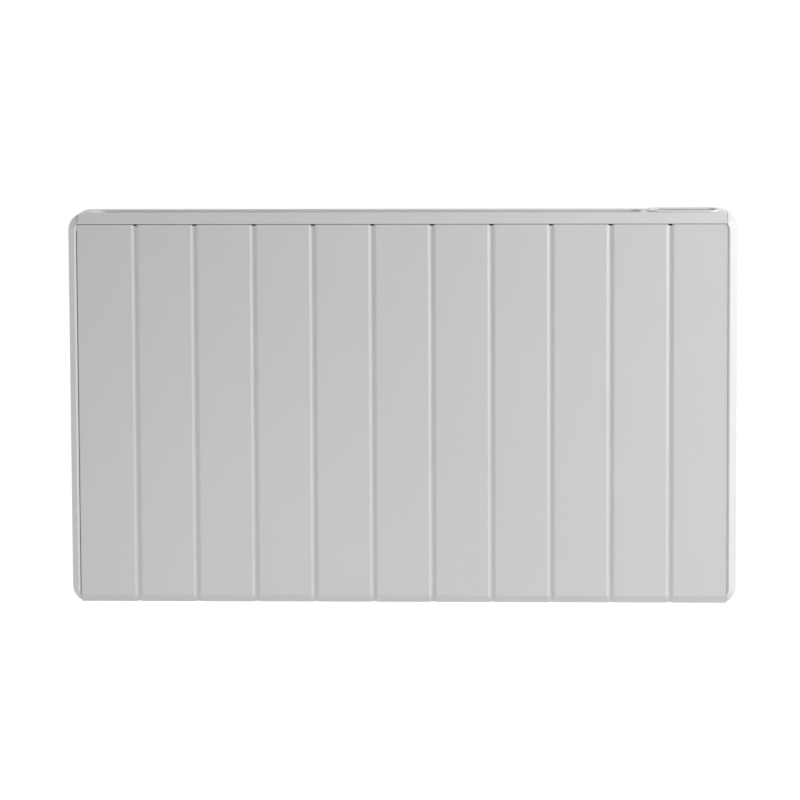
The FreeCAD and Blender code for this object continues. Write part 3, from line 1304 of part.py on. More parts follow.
def mains_switch():
    """Rocker switch in the end cap's well: a housing clipped in its seat, and the rocker on its own pin."""
    body = new_body("power_switch_body")
    half_y, half_z = "dims.switch_width / 2", "dims.switch_length / 2"
    rim = sketch_on(body, "YZ_Plane", "switch_rim", SWITCH_FACE)
    centred(rim, "-dims.switch_y", "dims.switch_z", "dims.switch_width", "dims.switch_length", "dims.switch_rim")
    pad(body, rim, "dims.switch_rim")
    case = sketch_on(body, "YZ_Plane", "switch_case", SWITCH_FACE)
    inset = "2 * dims.switch_rim"
    centred(case, "-dims.switch_y", "dims.switch_z", f"dims.switch_width - {inset}", f"dims.switch_length - {inset}")
    pad(body, case, "dims.switch_body", back=True)
    space = sketch_on(body, "YZ_Plane", "switch_space", f"{SWITCH_FACE} + dims.switch_rim")
    hollow = f"({inset} + 2 * dims.switch_wall)"
    centred(space, "-dims.switch_y", "dims.switch_z", f"dims.switch_width - {hollow}", f"dims.switch_length - {hollow}")
    pocket(body, space, "dims.switch_rim + dims.switch_body * 0.7")
    blades = sketch_on(body, "YZ_Plane", "switch_blades", f"{SWITCH_FACE} - dims.switch_body")
    for sign in ("-", "+"):
        centred(blades, "-dims.switch_y", f"dims.switch_z {sign} dims.switch_length / 5", "4.8", "0.8")
    pad(body, blades, "dims.switch_body / 2", back=True)
    pin_hole = sketch_on(body, "XZ_Plane", "rocker_pin_hole")
    polygon(pin_hole, ROCKER_X, "dims.switch_z", "dims.rocker_pin + dims.pin_play", 12)
    pocket(body, pin_hole, "4 * dims.case_depth", both=True)
    rocker()


def rocker():
    """Drawn level about its own pin, then placed in the housing at the tilt it has when switched off."""
    body = doc.addObject("PartDesign::Body", "power_switch_rocker")
    body.Label = "power_switch_rocker"
    nodes["power_switch_rocker"] = body
    hollow = "(2 * dims.switch_rim + 2 * dims.switch_wall)"
    half = f"((dims.switch_length - {hollow}) / 2 - 2 * dims.fit_gap)"
    tall = "dims.rocker_half"
    face = sketch_on(body, "XZ_Plane", "rocker_face")
    outline(face, [
        (f"-{tall}", f"-{half}"),
        (tall, f"-{half}", "dims.rocker_dish / 2"),
        (f"{tall} - dims.rocker_dish", "0"),
        (tall, half, "dims.rocker_dish / 2"),
        (f"-{tall}", half),
    ])
    pad(body, face, f"dims.switch_width - {hollow} - 2 * dims.fit_gap", both=True)
    pin = sketch_on(body, "XZ_Plane", "rocker_pin")
    polygon(pin, "0", "0", f"dims.rocker_pin * {PIN_FLAT}", 12)
    pad(body, pin, "dims.switch_width - 2 * dims.switch_rim - dims.switch_wall", both=True)
    body.Placement.Rotation = FreeCAD.Rotation(FreeCAD.Vector(0, 1, 0), value("dims.rocker_tilt"))
    body.setExpression("Placement.Rotation.Angle", "dims.rocker_tilt")
    body.setExpression("Placement.Base.x", ROCKER_X)
    body.setExpression("Placement.Base.y", "-dims.switch_y")
    body.setExpression("Placement.Base.z", f"dims.switch_z - {MOUNT}")
    doc.recompute()


def wall_bracket():
    """Pressed steel frame: two hat-section uprights joined by cross strips, with a lanced hook on each upright."""
    body = new_body("wall_bracket")
    gauge = "dims.bracket_gauge"
    web_left = "(dims.upright_x - dims.web_width / 2)"
    web_right = "(dims.upright_x + dims.web_width / 2)"
    hat = sketch_on(body, "XY_Plane", "upright_section", BRACKET_LOW)
    outline(hat, [
        (f"{web_left} - dims.foot_width", "0"),
        (f"{web_left} - dims.foot_width", f"-{gauge}"),
        (web_left, f"-{gauge}"),
        (web_left, WEB_FRONT),
        (web_right, WEB_FRONT),
        (web_right, f"-{gauge}"),
        (f"{web_right} + dims.foot_width", f"-{gauge}"),
        (f"{web_right} + dims.foot_width", "0"),
        (f"{web_right} - {gauge}", "0"),
        (f"{web_right} - {gauge}", WEB_BACK),
        (f"{web_left} + {gauge}", WEB_BACK),
        (f"{web_left} + {gauge}", "0"),
    ])
    upright = pad(body, hat, BRACKET_HEIGHT)
    tongue = sketch_on(body, "YZ_Plane", "hook_section", "dims.upright_x")
    tip = f"({REAR_FRONT} - dims.hook_reach)"
    outline(tongue, [
        (WEB_BACK, HOOK_Z),
        (WEB_BACK, f"{HOOK_Z} + {gauge}"),
        (f"{tip} + {gauge}", f"{HOOK_Z} + {gauge}"),
        (f"{tip} + {gauge}", f"{HOOK_Z} + dims.hook_tip"),
        (tip, f"{HOOK_Z} + dims.hook_tip"),
        (tip, HOOK_Z),
    ])
    hook = pad(body, tongue, "dims.hook_width", both=True)
    pivot = sketch_on(body, "XZ_Plane", "latch_hole")
    polygon(pivot, "dims.upright_x", LATCH_Z, "dims.latch_shank + dims.pin_play", 12)
    pivot_cut = pocket(body, pivot, "4 * dims.wall_gap", both=True)
    holes = sketch_on(body, "XZ_Plane", "wall_holes")
    for sign in ("-", "+"):
        circle(holes, WALL_HOLE_X, f"{MOUNT} {sign} dims.wall_hole_rise / 2", "dims.wall_hole_radius")
    hole_cut = pocket(body, holes, "4 * dims.wall_gap", both=True)
    strips = sketch_on(body, "XZ_Plane", "cross_strips")
    inner = f"({web_left} - dims.foot_width / 2)"
    rectangle(strips, f"-{inner}", inner, BRACKET_LOW, f"{BRACKET_LOW} + dims.cross_height")
    rectangle(strips, f"-{inner}", inner, f"{BRACKET_LOW} + {BRACKET_HEIGHT} - dims.cross_height",
              f"{BRACKET_LOW} + {BRACKET_HEIGHT}")
    pad(body, strips, gauge)
    mirror(body, [upright, hook, pivot_cut, hole_cut])


def latches():
    """Quarter-turn catches riveted to the uprights: a lever to turn, and a T head that locks behind the panel."""
    body = new_body("latch_right")
    lever_back = f"({WEB_FRONT} - dims.fit_gap)"
    lever = sketch_on(body, "XZ_Plane", "latch_lever", lever_back)
    half = "dims.latch_width / 2"
    clipped(lever, "dims.upright_x", f"({LATCH_Z} + (dims.latch_lever - {half}) / 2)", "dims.latch_width",
            f"dims.latch_lever + {half}", f"{half} * 0.6")
    pad(body, lever, "dims.latch_gauge")
    head_back = f"({REAR_FRONT} - dims.latch_grip)"
    shank = sketch_on(body, "XZ_Plane", "latch_shank", f"{WEB_BACK} + dims.fit_gap")
    polygon(shank, "dims.upright_x", LATCH_Z, f"dims.latch_shank * {PIN_FLAT}", 12)
    pad(body, shank, f"{WEB_BACK} + dims.fit_gap - {head_back}")
    head = sketch_on(body, "XZ_Plane", "latch_head", head_back)
    centred(head, "dims.upright_x", LATCH_Z, "2 * dims.latch_head_half", "dims.latch_head_tall")
    pad(body, head, "dims.latch_head_thick")
    rivet = sketch_on(body, "XZ_Plane", "latch_rivet", f"{WEB_BACK} + dims.fit_gap")
    polygon(rivet, "dims.upright_x", LATCH_Z, "dims.latch_rivet", 8)
    pad(body, rivet, "dims.latch_gauge", back=True)
    mirrored_copy("latch_left", body)


def screw_group(label, plane, seats, head_at, length, head_back, twins=False):
    """Equal hexagon-head screws: heads on one plane and their shanks the other way."""
    body = new_body(label, many=True)
    heads = sketch_on(body, plane, "screw_heads", head_at)
    shanks = sketch_on(body, plane, "screw_shanks", head_at)
    for across, along in seats:
        polygon(heads, across, along, "dims.screw_head", 6)
        polygon(shanks, across, along, "dims.screw_radius", 6)
    made = [pad(body, heads, "dims.screw_head_tall", back=head_back), pad(body, shanks, length, back=not head_back)]
    if twins:
        mirror(body, made)


def fasteners():
    cap_seats = [(cap_boss_y(), height) for height in side_screw_heights()]
    screw_group("end_cap_screws", "YZ_Plane", cap_seats, PLATE_IN,
                "dims.frame_gauge + dims.cap_screw_length", head_back=True, twins=True)
    rear_x = f"({PLATE_IN} - dims.frame_flange / 2)"
    rear_seats = [(rear_x, height) for height in rear_screw_heights()]
    screw_group("rear_panel_screws", "XZ_Plane", rear_seats, REAR_BACK,
                "dims.rear_screw_length", head_back=True, twins=True)
    screw_group("board_screws", "XY_Plane", board_corners(), BOARD_TOP,
                "dims.board_gauge + dims.board_screw_length", head_back=False)


def element_lead():
    """Insulated lead from the element's terminal pin, along, round a bend and up into the electronics box."""
    body = new_body("element_lead")
    pin_end = f"({ELEMENT_RIGHT} + dims.sheath_stub + dims.pin_length)"
    rise_x = f"({pin_end} + dims.lead_run)"
    spine = sketch_on(body, "XZ_Plane", "lead_route", ELEMENT_Y)
    low, high = "dims.element_height", f"({BOX_LOW} + 3 * dims.box_wall)"
    bend_x, bend_z = f"{rise_x} - dims.lead_bend", f"{low} + dims.lead_bend"
    start = FreeCAD.Vector(value(bend_x), value(low), 0)
    stop = FreeCAD.Vector(value(rise_x), value(bend_z), 0)
    centre = FreeCAD.Vector(value(bend_x), value(bend_z), 0)
    crown = centre + FreeCAD.Vector(1, -1, 0).normalize() * value("dims.lead_bend")
    run = spine.addGeometry(Part.LineSegment(FreeCAD.Vector(value(pin_end), value(low), 0), start))
    bend = spine.addGeometry(Part.Arc(start, crown, stop))
    rise = spine.addGeometry(Part.LineSegment(stop, FreeCAD.Vector(value(rise_x), value(high), 0)))
    spine.addConstraint(Sketcher.Constraint("Coincident", run, 2, bend, 1))
    spine.addConstraint(Sketcher.Constraint("Coincident", bend, 2, rise, 1))
    tie_point(spine, run, 1, pin_end, low)
    tie_point(spine, run, 2, bend_x, low)
    tie_point(spine, bend, 3, bend_x, bend_z)
    tie(spine, "DistanceY", bend_z, -1, 1, bend, 2)
    tie_point(spine, rise, 2, rise_x, high)
    section = sketch_on(body, "YZ_Plane", "lead_section", pin_end)
    polygon(section, ELEMENT_Y, low, "dims.lead_radius", 8)
    doc.recompute()
    sweep(body, "Additive", section, spine)


front_panel()
top_cover()
outlet_grille()
end_caps()
rear_panel()
base_grille()
end_plates()
rail("rail_upper", f"({TOP} - dims.rail_edge - dims.rail_height)")
rail("rail_lower", "dims.rail_edge")
radiant_layer("radiant_plate", RADIANT_FRONT, "dims.radiant_gauge", "0")
heating_film()
radiant_layer("insulation_board", INSULATION_FRONT, "dims.insulation_thick", "0")
convector_element()
element_supports()
heat_shield()
overheat_cutout()
control_bezel()
control_fascia()
buttons()
display()
control_board()
electronics_box()
power_board()
terminal_block()
cable_gland()
room_sensor()
mains_switch()
wall_bracket()
latches()
fasteners()
element_lead()
doc.recompute()

failed = [item.Label for item in doc.Objects if "Invalid" in item.State or "Error" in item.State]
if failed:
    raise RuntimeError(f"these did not build: {failed}")

os.makedirs("parts", exist_ok=True)
for label, piece in nodes.items():
    if piece.Shape.isNull() or not piece.Shape.isValid() or not piece.Shape.Solids:
        raise RuntimeError(f"{label} has no valid solid")
    piece.Shape.exportStep(f"parts/{label}.step")
print(f"{len(nodes)} nodes exported")
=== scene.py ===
import math

import bmesh
import bpy
from bmesh.types import BMEdge, BMFace, BMVert
from mathutils import Matrix, Vector


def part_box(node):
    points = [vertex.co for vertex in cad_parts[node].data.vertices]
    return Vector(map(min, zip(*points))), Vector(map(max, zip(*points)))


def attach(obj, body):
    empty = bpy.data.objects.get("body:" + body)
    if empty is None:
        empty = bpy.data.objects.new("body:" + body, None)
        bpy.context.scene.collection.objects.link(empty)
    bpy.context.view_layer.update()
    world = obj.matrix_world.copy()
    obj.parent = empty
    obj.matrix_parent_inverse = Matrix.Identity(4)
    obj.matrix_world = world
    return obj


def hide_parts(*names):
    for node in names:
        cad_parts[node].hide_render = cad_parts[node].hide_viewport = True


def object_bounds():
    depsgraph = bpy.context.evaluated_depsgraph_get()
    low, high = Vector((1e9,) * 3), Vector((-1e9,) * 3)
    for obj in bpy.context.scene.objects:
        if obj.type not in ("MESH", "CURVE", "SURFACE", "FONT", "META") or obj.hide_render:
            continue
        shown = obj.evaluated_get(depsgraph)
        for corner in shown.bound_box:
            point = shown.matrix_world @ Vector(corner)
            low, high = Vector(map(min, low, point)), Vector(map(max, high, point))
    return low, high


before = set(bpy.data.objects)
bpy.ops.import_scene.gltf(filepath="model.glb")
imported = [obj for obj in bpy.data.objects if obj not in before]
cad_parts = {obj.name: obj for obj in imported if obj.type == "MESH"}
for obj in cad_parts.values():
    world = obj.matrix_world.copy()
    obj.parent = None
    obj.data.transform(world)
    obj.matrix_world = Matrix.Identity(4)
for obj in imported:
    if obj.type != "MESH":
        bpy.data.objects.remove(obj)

cad_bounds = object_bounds()

# Wall bracket
# Two pressed steel uprights joined by cross strips, screwed to the wall through holes in the feet. It has
# a light satin powder coat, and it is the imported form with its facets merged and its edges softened.
drift_scale = 8.0
drift_darkest = 0.965
wear_scale = 160.0
wear_start = 0.53
wear_slope = 9.0
gloss_drift = 0.1
gloss_grain = 0.06
crease_angle = math.radians(38)
facet_angle = math.radians(0.5)
merge_distance = 1e-6
edge_fine = 0.0002
edge_soft = 0.0003
edge_round = 0.0004


class Wire:
    """One output of a shader node. Sums and products of wires become Math nodes."""

    def __init__(self, tree, socket):
        self.tree = tree
        self.socket = socket

    def node(self, kind, settings, inputs, output=0):
        made = self.tree.nodes.new(kind)
        for setting, choice in settings.items():
            setattr(made, setting, choice)
        for socket, given in inputs.items():
            if isinstance(given, Wire):
                self.tree.links.new(given.socket, made.inputs[socket])
            else:
                made.inputs[socket].default_value = given
        return Wire(self.tree, made.outputs[output])

    def math(self, operation, first, second):
        return self.node("ShaderNodeMath", {"operation": operation}, {0: first, 1: second})

    def limited(self):
        return self.node("ShaderNodeClamp", {}, {"Value": self})

    def between(self, low, high):
        """A colour that goes from low to high as this wire goes from 0 to 1."""
        return self.node("ShaderNodeMix", {"data_type": "RGBA"}, {0: self, 6: low, 7: high}, output=2)

    def noise(self, scale, detail):
        return self.node("ShaderNodeTexNoise", {}, {"Vector": self, "Scale": scale, "Detail": detail})

    def feed(self, socket):
        self.tree.links.new(self.socket, socket)

    def __add__(self, other):
        return self.math("ADD", self, other)

    def __sub__(self, other):
        return self.math("SUBTRACT", self, other)

    def __rsub__(self, other):
        return self.math("SUBTRACT", other, self)

    def __mul__(self, other):
        return self.math("MULTIPLY", self, other)

    __radd__ = __add__
    __rmul__ = __mul__


def blank_material(name):
    """A new material, with its shader and the wire of the object's own coordinates."""
    material = bpy.data.materials.new(name)
    material.use_nodes = True
    tree = material.node_tree
    place = Wire(tree, tree.nodes.new("ShaderNodeTexCoord").outputs["Object"])
    return material, tree.nodes["Principled BSDF"], place


def surface(name, colour, roughness, metallic=0.0, grain=1400.0, relief=0.00002, worn=None):
    """Paint, plastic or metal with fine relief, slow drifts in tone and gloss, and edges that can be worn."""
    material, shader, place = blank_material(name)
    drift = place.noise(drift_scale, 3.0)
    fine = place.noise(grain, 2.0)
    darker = [channel * drift_darkest for channel in colour]
    tone = drift.between((*darker, 1.0), (*colour, 1.0))
    if worn:
        sharp = place.node("ShaderNodeNewGeometry", {}, {}, "Pointiness")
        rubbed = ((sharp - wear_start) * wear_slope * place.noise(wear_scale, 3.0)).limited()
        tone = rubbed.between(tone, (*worn, 1.0))
    tone.feed(shader.inputs["Base Color"])
    smoothest = roughness - (gloss_drift + gloss_grain) / 2
    (drift * gloss_drift + fine * gloss_grain + smoothest).feed(shader.inputs["Roughness"])
    bump = place.node("ShaderNodeBump", {}, {"Strength": 0.6, "Distance": relief, "Height": fine})
    bump.feed(shader.inputs["Normal"])
    shader.inputs["Metallic"].default_value = metallic
    return material


def place_piece(form, name, material, body, nodes, edge=0.0, skin=0.0):
    """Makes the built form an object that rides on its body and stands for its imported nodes."""
    bmesh.ops.recalc_face_normals(form, faces=form.faces)
    mesh = bpy.data.meshes.new(name)
    form.to_mesh(mesh)
    form.free()
    mesh.shade_smooth()
    mesh.set_sharp_from_angle(angle=crease_angle)
    mesh.materials.append(material)
    piece = bpy.data.objects.new(name, mesh)
    bpy.context.scene.collection.objects.link(piece)
    if skin:
        shell = piece.modifiers.new("sheet", "SOLIDIFY")
        shell.thickness = skin
        shell.offset = -1.0
        shell.use_even_offset = True
    if edge:
        soft = piece.modifiers.new("edges", "BEVEL")
        soft.width = edge
        soft.segments = 2
        soft.limit_method = "ANGLE"
        soft.angle_limit = crease_angle
    piece.modifiers.new("flats", "WEIGHTED_NORMAL").keep_sharp = True
    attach(piece, body)
    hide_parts(*nodes)


def place_refined(node, material, edge, body="radiator"):
    """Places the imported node's own form, with its facets merged and its edges softened."""
    form = bmesh.new()
    form.from_mesh(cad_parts[node].data)
    bmesh.ops.remove_doubles(form, verts=form.verts, dist=merge_distance)
    bmesh.ops.dissolve_limit(form, angle_limit=facet_angle, verts=form.verts, edges=form.edges)
    place_piece(form, node + "_look", material, body, [node], edge=edge)


bracket_coat = surface("bracket_coat", (0.66, 0.66, 0.65), 0.42, worn=(0.4, 0.41, 0.42))
place_refined("wall_bracket", bracket_coat, edge_soft)

# Bracket catches
# A quarter-turn catch on each upright, with a flat lever and a T head that locks behind the rear panel.
# It is zinc-plated steel, bright along its edges.
catch_zinc = surface("catch_zinc", (0.58, 0.58, 0.6), 0.36, metallic=0.9, grain=420.0,
                     worn=(0.75, 0.75, 0.76))
place_refined("latch_left", catch_zinc, edge_fine, "left_latch")
place_refined("latch_right", catch_zinc, edge_fine, "right_latch")

# Rear panel and inner frame
# Zinc-coated sheet with the pale crystals of hot dipping. The panel shows from behind and has its edges
# softened, while the frame and the element's brackets inside keep their packed form.
crystal_scale = 130.0
zinc_dark = (0.52, 0.53, 0.54, 1.0)
zinc_light = (0.64, 0.65, 0.66, 1.0)


def zinc_sheet(name):
    """Zinc-coated steel: each crystal has its own tone and gloss."""
    material, shader, place = blank_material(name)
    crystals = place.node("ShaderNodeTexVoronoi", {}, {"Vector": place, "Scale": crystal_scale}, "Color")
    shade = place.node("ShaderNodeSeparateColor", {}, {"Color": crystals})
    fine = place.noise(700.0, 2.0)
    shade.between(zinc_dark, zinc_light).feed(shader.inputs["Base Color"])
    (shade * 0.16 + fine * 0.08 + 0.3).feed(shader.inputs["Roughness"])
    bump = place.node("ShaderNodeBump", {}, {"Strength": 0.4, "Distance": 0.00002, "Height": fine})
    bump.feed(shader.inputs["Normal"])
    shader.inputs["Metallic"].default_value = 0.85
    return material


def dress(material, *nodes):
    """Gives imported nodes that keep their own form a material."""
    for node in nodes:
        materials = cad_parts[node].data.materials
        materials.clear()
        materials.append(material)


zinc = zinc_sheet("zinc")
place_refined("rear_panel", zinc, edge_fine)
dress(zinc, "end_plate_left", "end_plate_right", "rail_upper", "rail_lower", "element_bracket_left",
      "element_bracket_right")

# Heating parts
# A mill-finish aluminium plate with a brown heating film and a fibre board behind it, a finned element in
# ceramic bushes and a heat shield. They and the power board's sink keep their packed form inside the case.
aluminium = surface("aluminium", (0.68, 0.68, 0.69), 0.34, metallic=1.0, grain=260.0)
dress(aluminium, "radiant_plate", "convector_element", "heat_shield", "heat_sink")
dress(surface("film", (0.22, 0.12, 0.06), 0.3, grain=300.0), "heating_film")
dress(surface("fibre_board", (0.8, 0.74, 0.58), 0.85, grain=240.0, relief=0.0003), "insulation_board")
dress(surface("ceramic", (0.86, 0.84, 0.8), 0.55, grain=900.0), "element_bushes")

# Front panel
# One sheet of 1 mm steel in a satin powder coat, with ten pressed grooves, folded back at the sides, the
# top and the foot. Cuts mark the grooves, their floors are pushed in, and the foot is turned on its bend.
panel_low, panel_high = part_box("front_panel")
panel_gauge = 0.001
groove_count = 10
groove_pitch = 0.0825
groove_shift = 0.0012
groove_mouth = 0.0094
groove_floor = 0.0016
groove_depth = 0.0028
groove_rounding = 0.0016
floor_rounding = 0.0007
notch_width = 0.0054
notch_height = 0.0019
panel_fold = 0.0016
fold_angle = math.radians(70)
foot_bend = 0.008
foot_turn = math.radians(50)
foot_steps = 5
foot_length = 0.010
foot_groove = 0.35
flange_depth = 0.010
return_depth = 0.015
bend_height = panel_low.z + foot_bend * math.sin(foot_turn) + foot_length * math.cos(foot_turn)
slack = 1e-4
along_x = Vector((1, 0, 0))
along_y = Vector((0, 1, 0))
along_z = Vector((0, 0, 1))


def only(kind, items):
    """The items of one kind, which is verts, edges or faces."""
    return [item for item in items if isinstance(item, kind)]


def slice_form(form, places, axis, **settings):
    """Cuts the whole form at each place along the axis."""
    for place in places:
        whole = form.verts[:] + form.edges[:] + form.faces[:]
        bmesh.ops.bisect_plane(form, geom=whole, plane_co=axis * place, plane_no=axis, **settings)


def round_edges(form, edges, width, segments):
    """Turns the edges into rounds that start at the given distance from them."""
    bmesh.ops.bevel(form, geom=edges, offset=width, segments=segments, profile=0.5, affect="EDGES",
                    material=-1)


def edges_where(form, test):
    """The edges whose two ends both pass the test."""
    return [edge for edge in form.edges if all(test(vert.co) for vert in edge.verts)]


def near(first, second):
    """Whether two places agree to a hundredth of a millimetre."""
    return abs(first - second) < 1e-5


panel_corners = (
    (panel_low.x, bend_height),
    (panel_high.x, bend_height),
    (panel_high.x, panel_high.z),
    (panel_low.x, panel_high.z),
)
panel = bmesh.new()
panel.faces.new([panel.verts.new((x, panel_low.y, z)) for x, z in panel_corners])
middle_groove = (groove_count - 1) / 2
groove_places = [groove_shift + (index - middle_groove) * groove_pitch for index in range(groove_count)]
groove_lines = (-groove_mouth / 2, -groove_floor / 2, groove_floor / 2, groove_mouth / 2)
for middle in groove_places:
    slice_form(panel, [middle + line for line in groove_lines], along_x)
    for vert in panel.verts:
        if abs(vert.co.x - middle) < groove_mouth / 4:
            vert.co.y += groove_depth
for crease_y, rounding in ((panel_low.y, groove_rounding), (panel_low.y + groove_depth, floor_rounding)):
    creases = edges_where(panel, lambda place: near(place.y, crease_y))
    round_edges(panel, [edge for edge in creases if len(edge.link_faces) == 2], rounding, segments=3)
for middle in groove_places:
    slice_form(panel, (middle - notch_width / 2, middle + notch_width / 2), along_x)
notch_low = panel_high.z - notch_height
slice_form(panel, (notch_low,), along_z)
notches = []
for face in panel.faces:
    centre = face.calc_center_median()
    beside = min(abs(centre.x - middle) for middle in groove_places)
    if beside < notch_width / 2 and centre.z > notch_low:
        notches.append(face)
bmesh.ops.delete(panel, geom=notches, context="FACES")
foot = edges_where(panel, lambda place: near(place.z, bend_height))
turned = bmesh.ops.spin(panel, geom=foot, cent=(0, panel_low.y + foot_bend, bend_height), axis=(1, 0, 0),
                        angle=foot_turn, steps=foot_steps)
foot_end = only(BMEdge, turned["geom_last"])
hem = only(BMVert, bmesh.ops.extrude_edge_only(panel, edges=foot_end)["geom"])
hem_run = (0, foot_length * math.sin(foot_turn), -foot_length * math.cos(foot_turn))
bmesh.ops.translate(panel, verts=hem, vec=hem_run)
foot_inwards = Vector((0, math.cos(foot_turn), math.sin(foot_turn)))
foot_y = panel_low.y + foot_bend * (1 - math.cos(foot_turn)) + foot_length * math.sin(foot_turn)
for vert in hem:
    depth = foot_inwards.dot(vert.co - Vector((vert.co.x, foot_y, panel_low.z)))
    vert.co -= foot_inwards * depth * (1 - foot_groove)
top_edge = edges_where(panel, lambda place: near(place.z, panel_high.z))
flange = bmesh.ops.extrude_edge_only(panel, edges=top_edge)["geom"]
for vert in only(BMVert, flange):
    vert.co.y = panel_low.y + flange_depth
for side in (panel_low.x, panel_high.x):
    side_edge = edges_where(panel, lambda place: near(place.x, side) and (
        place.y < panel_low.y + flange_depth - slack or place.z < bend_height))
    wing = bmesh.ops.extrude_edge_only(panel, edges=side_edge)["geom"]
    for vert in only(BMVert, wing):
        vert.co.y = panel_low.y + return_depth
inner_edges = [edge for edge in panel.edges if len(edge.link_faces) == 2]
folds = [edge for edge in inner_edges if edge.calc_face_angle() > fold_angle]
round_edges(panel, folds, panel_fold, segments=3)
panel_coat = surface("panel_coat", (0.648, 0.648, 0.643), 0.36, grain=1100.0, relief=0.000012)
place_piece(panel, "front_panel_look", panel_coat, "radiator", ["front_panel"],
            skin=panel_gauge)

# Base grille
# A slotted tray of the same painted steel that closes the case from below and lets the air in.
place_refined("base_grille", panel_coat, edge_fine)

# End caps
# A moulded cap on each side, with a narrow front crest, a flank that slopes out and back, and round
# corners. Its section is run up the side and turned about each corner. The right one has the switch's well.
cap_low, cap_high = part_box("end_cap_right")
corner_radius = 0.024
corner_steps = 9
cap_gap_left = 0.0006
cap_gap_right = 0.0001
crest_fall = 0.0024
crest_width = 0.0034
crest_foot_rounding = 0.0006
crest_rounding = 0.0007
flank_depth = 0.016
flank_rounding = 0.002
cap_nose = 0.02
cap_turn_x = cap_high.x - corner_radius
cap_wall = 0.0025
case_plastic = surface("case_plastic", (0.67, 0.67, 0.662), 0.4, grain=1700.0, relief=0.000015)
switch_low, switch_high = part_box("power_switch_body")
well_margin = 0.0045
well_depth = 0.006
switch_rim = 0.0015
cut_tolerance = 1e-7
weld_distance = 1e-5


def chain(form, points):
    """A line of edges through the points, which are corners with a rounding each."""
    verts = [form.verts.new(place) for place, _ in points]
    for pair in zip(verts, verts[1:]):
        form.edges.new(pair)
    for vert, (_, rounding) in zip(verts, points):
        if rounding:
            bmesh.ops.bevel(form, geom=[vert], offset=rounding, segments=4, profile=0.5, affect="VERTICES",
                            material=-1)
    return form.edges[:]


def across(form, faces, places, axis):
    """Cuts the faces at each place along the axis, and returns the faces that come of them."""
    for place in places:
        geom = set(faces)
        for face in faces:
            geom.update(face.edges)
            geom.update(face.verts)
        cut = bmesh.ops.bisect_plane(form, geom=list(geom), plane_co=axis * place, plane_no=axis,
                                     dist=cut_tolerance)
        faces = only(BMFace, cut["geom"])
    return faces


def sink_switch_well(form):
    """Sinks a square well into the cap's flat side, with a hole in its floor for the switch's body."""
    form.normal_update()
    flat = [face for face in form.faces if near(face.calc_center_median().x, cap_high.x)]
    flat = across(form, flat, (switch_low.z - well_margin, switch_high.z + well_margin), along_z)
    flat = across(form, flat, (switch_low.y - well_margin, switch_high.y + well_margin), along_y)
    inside = [face for face in flat if all(
        low - well_margin < middle < high + well_margin for low, middle, high in
        zip(switch_low.yz, face.calc_center_median().yz, switch_high.yz))]
    sunk = bmesh.ops.extrude_face_region(form, geom=inside)["geom"]
    bmesh.ops.translate(form, verts=only(BMVert, sunk), vec=(-well_depth, 0, 0))
    bmesh.ops.delete(form, geom=[face for face in inside if face.is_valid], context="FACES_ONLY")
    floor = only(BMFace, sunk)
    bmesh.ops.inset_region(form, faces=floor, thickness=well_margin + switch_rim)
    bmesh.ops.delete(form, geom=floor, context="FACES_ONLY")


def end_cap(side, cap_gap):
    """One cap's outer skin with its gap to the panel: side 1 is the right one and side -1 the left one."""
    form = bmesh.new()
    cap_seam = panel_high.x + cap_gap
    corner_rise = math.sqrt(corner_radius ** 2 - (cap_seam - cap_turn_x) ** 2)
    low_turn = cap_low.z + corner_rise
    high_turn = cap_high.z - corner_rise
    section = chain(form, [
        ((cap_seam, panel_low.y + cap_nose, low_turn), 0),
        ((cap_seam, cap_low.y + crest_fall, low_turn), crest_foot_rounding),
        ((cap_seam + crest_width, cap_low.y, low_turn), crest_rounding),
        ((cap_high.x, panel_low.y + flank_depth, low_turn), flank_rounding),
        ((cap_high.x, cap_high.y, low_turn), 0),
    ])
    upright = bmesh.ops.extrude_edge_only(form, edges=section)["geom"]
    bmesh.ops.translate(form, verts=only(BMVert, upright), vec=(0, 0, high_turn - low_turn))
    turns = ((section, low_turn, math.pi / 2), (only(BMEdge, upright), high_turn, -math.pi / 2))
    for line, turn_z, angle in turns:
        bmesh.ops.spin(form, geom=line, cent=(cap_turn_x, 0, turn_z), axis=along_y, angle=angle,
                       steps=corner_steps)
    slice_form(form, (cap_seam,), along_x, dist=merge_distance, clear_inner=True)
    bmesh.ops.remove_doubles(form, verts=form.verts, dist=weld_distance)
    if side < 0:
        bmesh.ops.scale(form, verts=form.verts, vec=(-1, 1, 1))
    else:
        sink_switch_well(form)
    return form


place_piece(end_cap(-1, cap_gap_left), "end_cap_left_look", case_plastic, "radiator",
            ["end_cap_left"], skin=cap_wall)
place_piece(end_cap(1, cap_gap_right), "end_cap_right_look", case_plastic, "radiator",
            ["end_cap_right"], skin=cap_wall)

# Top cover
# A moulded deck with a sloping front trim, from cap to cap. Its section is run across the case, the ends
# are lowered to the corner round, and the air outlet is a sunken well with a ledge for the grille.
cover_low, cover_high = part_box("top_cover")
grille_low, grille_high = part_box("outlet_grille")
bezel_low, bezel_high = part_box("control_bezel")
cover_wall = 0.002
cover_edge = 0.00015
trim_gap = 0.0007
trim_inset = 0.0006
trim_foot = 0.0044
trim_setback = 0.016
trim_rounding = 0.0029
rear_rounding = 0.001
rear_drop = 0.006
deck_top = cover_high.z
outlet_gap = 0.0003
outlet_corner = 0.016
outlet_ledge = 0.003
mouth_round = 0.003
well_least = 0.008
wall_below = deck_top - 0.003
level_least = 0.99
upright_most = 0.1
end_cuts = 5
opening_inset = 0.0037
opening_corner = 0.0143

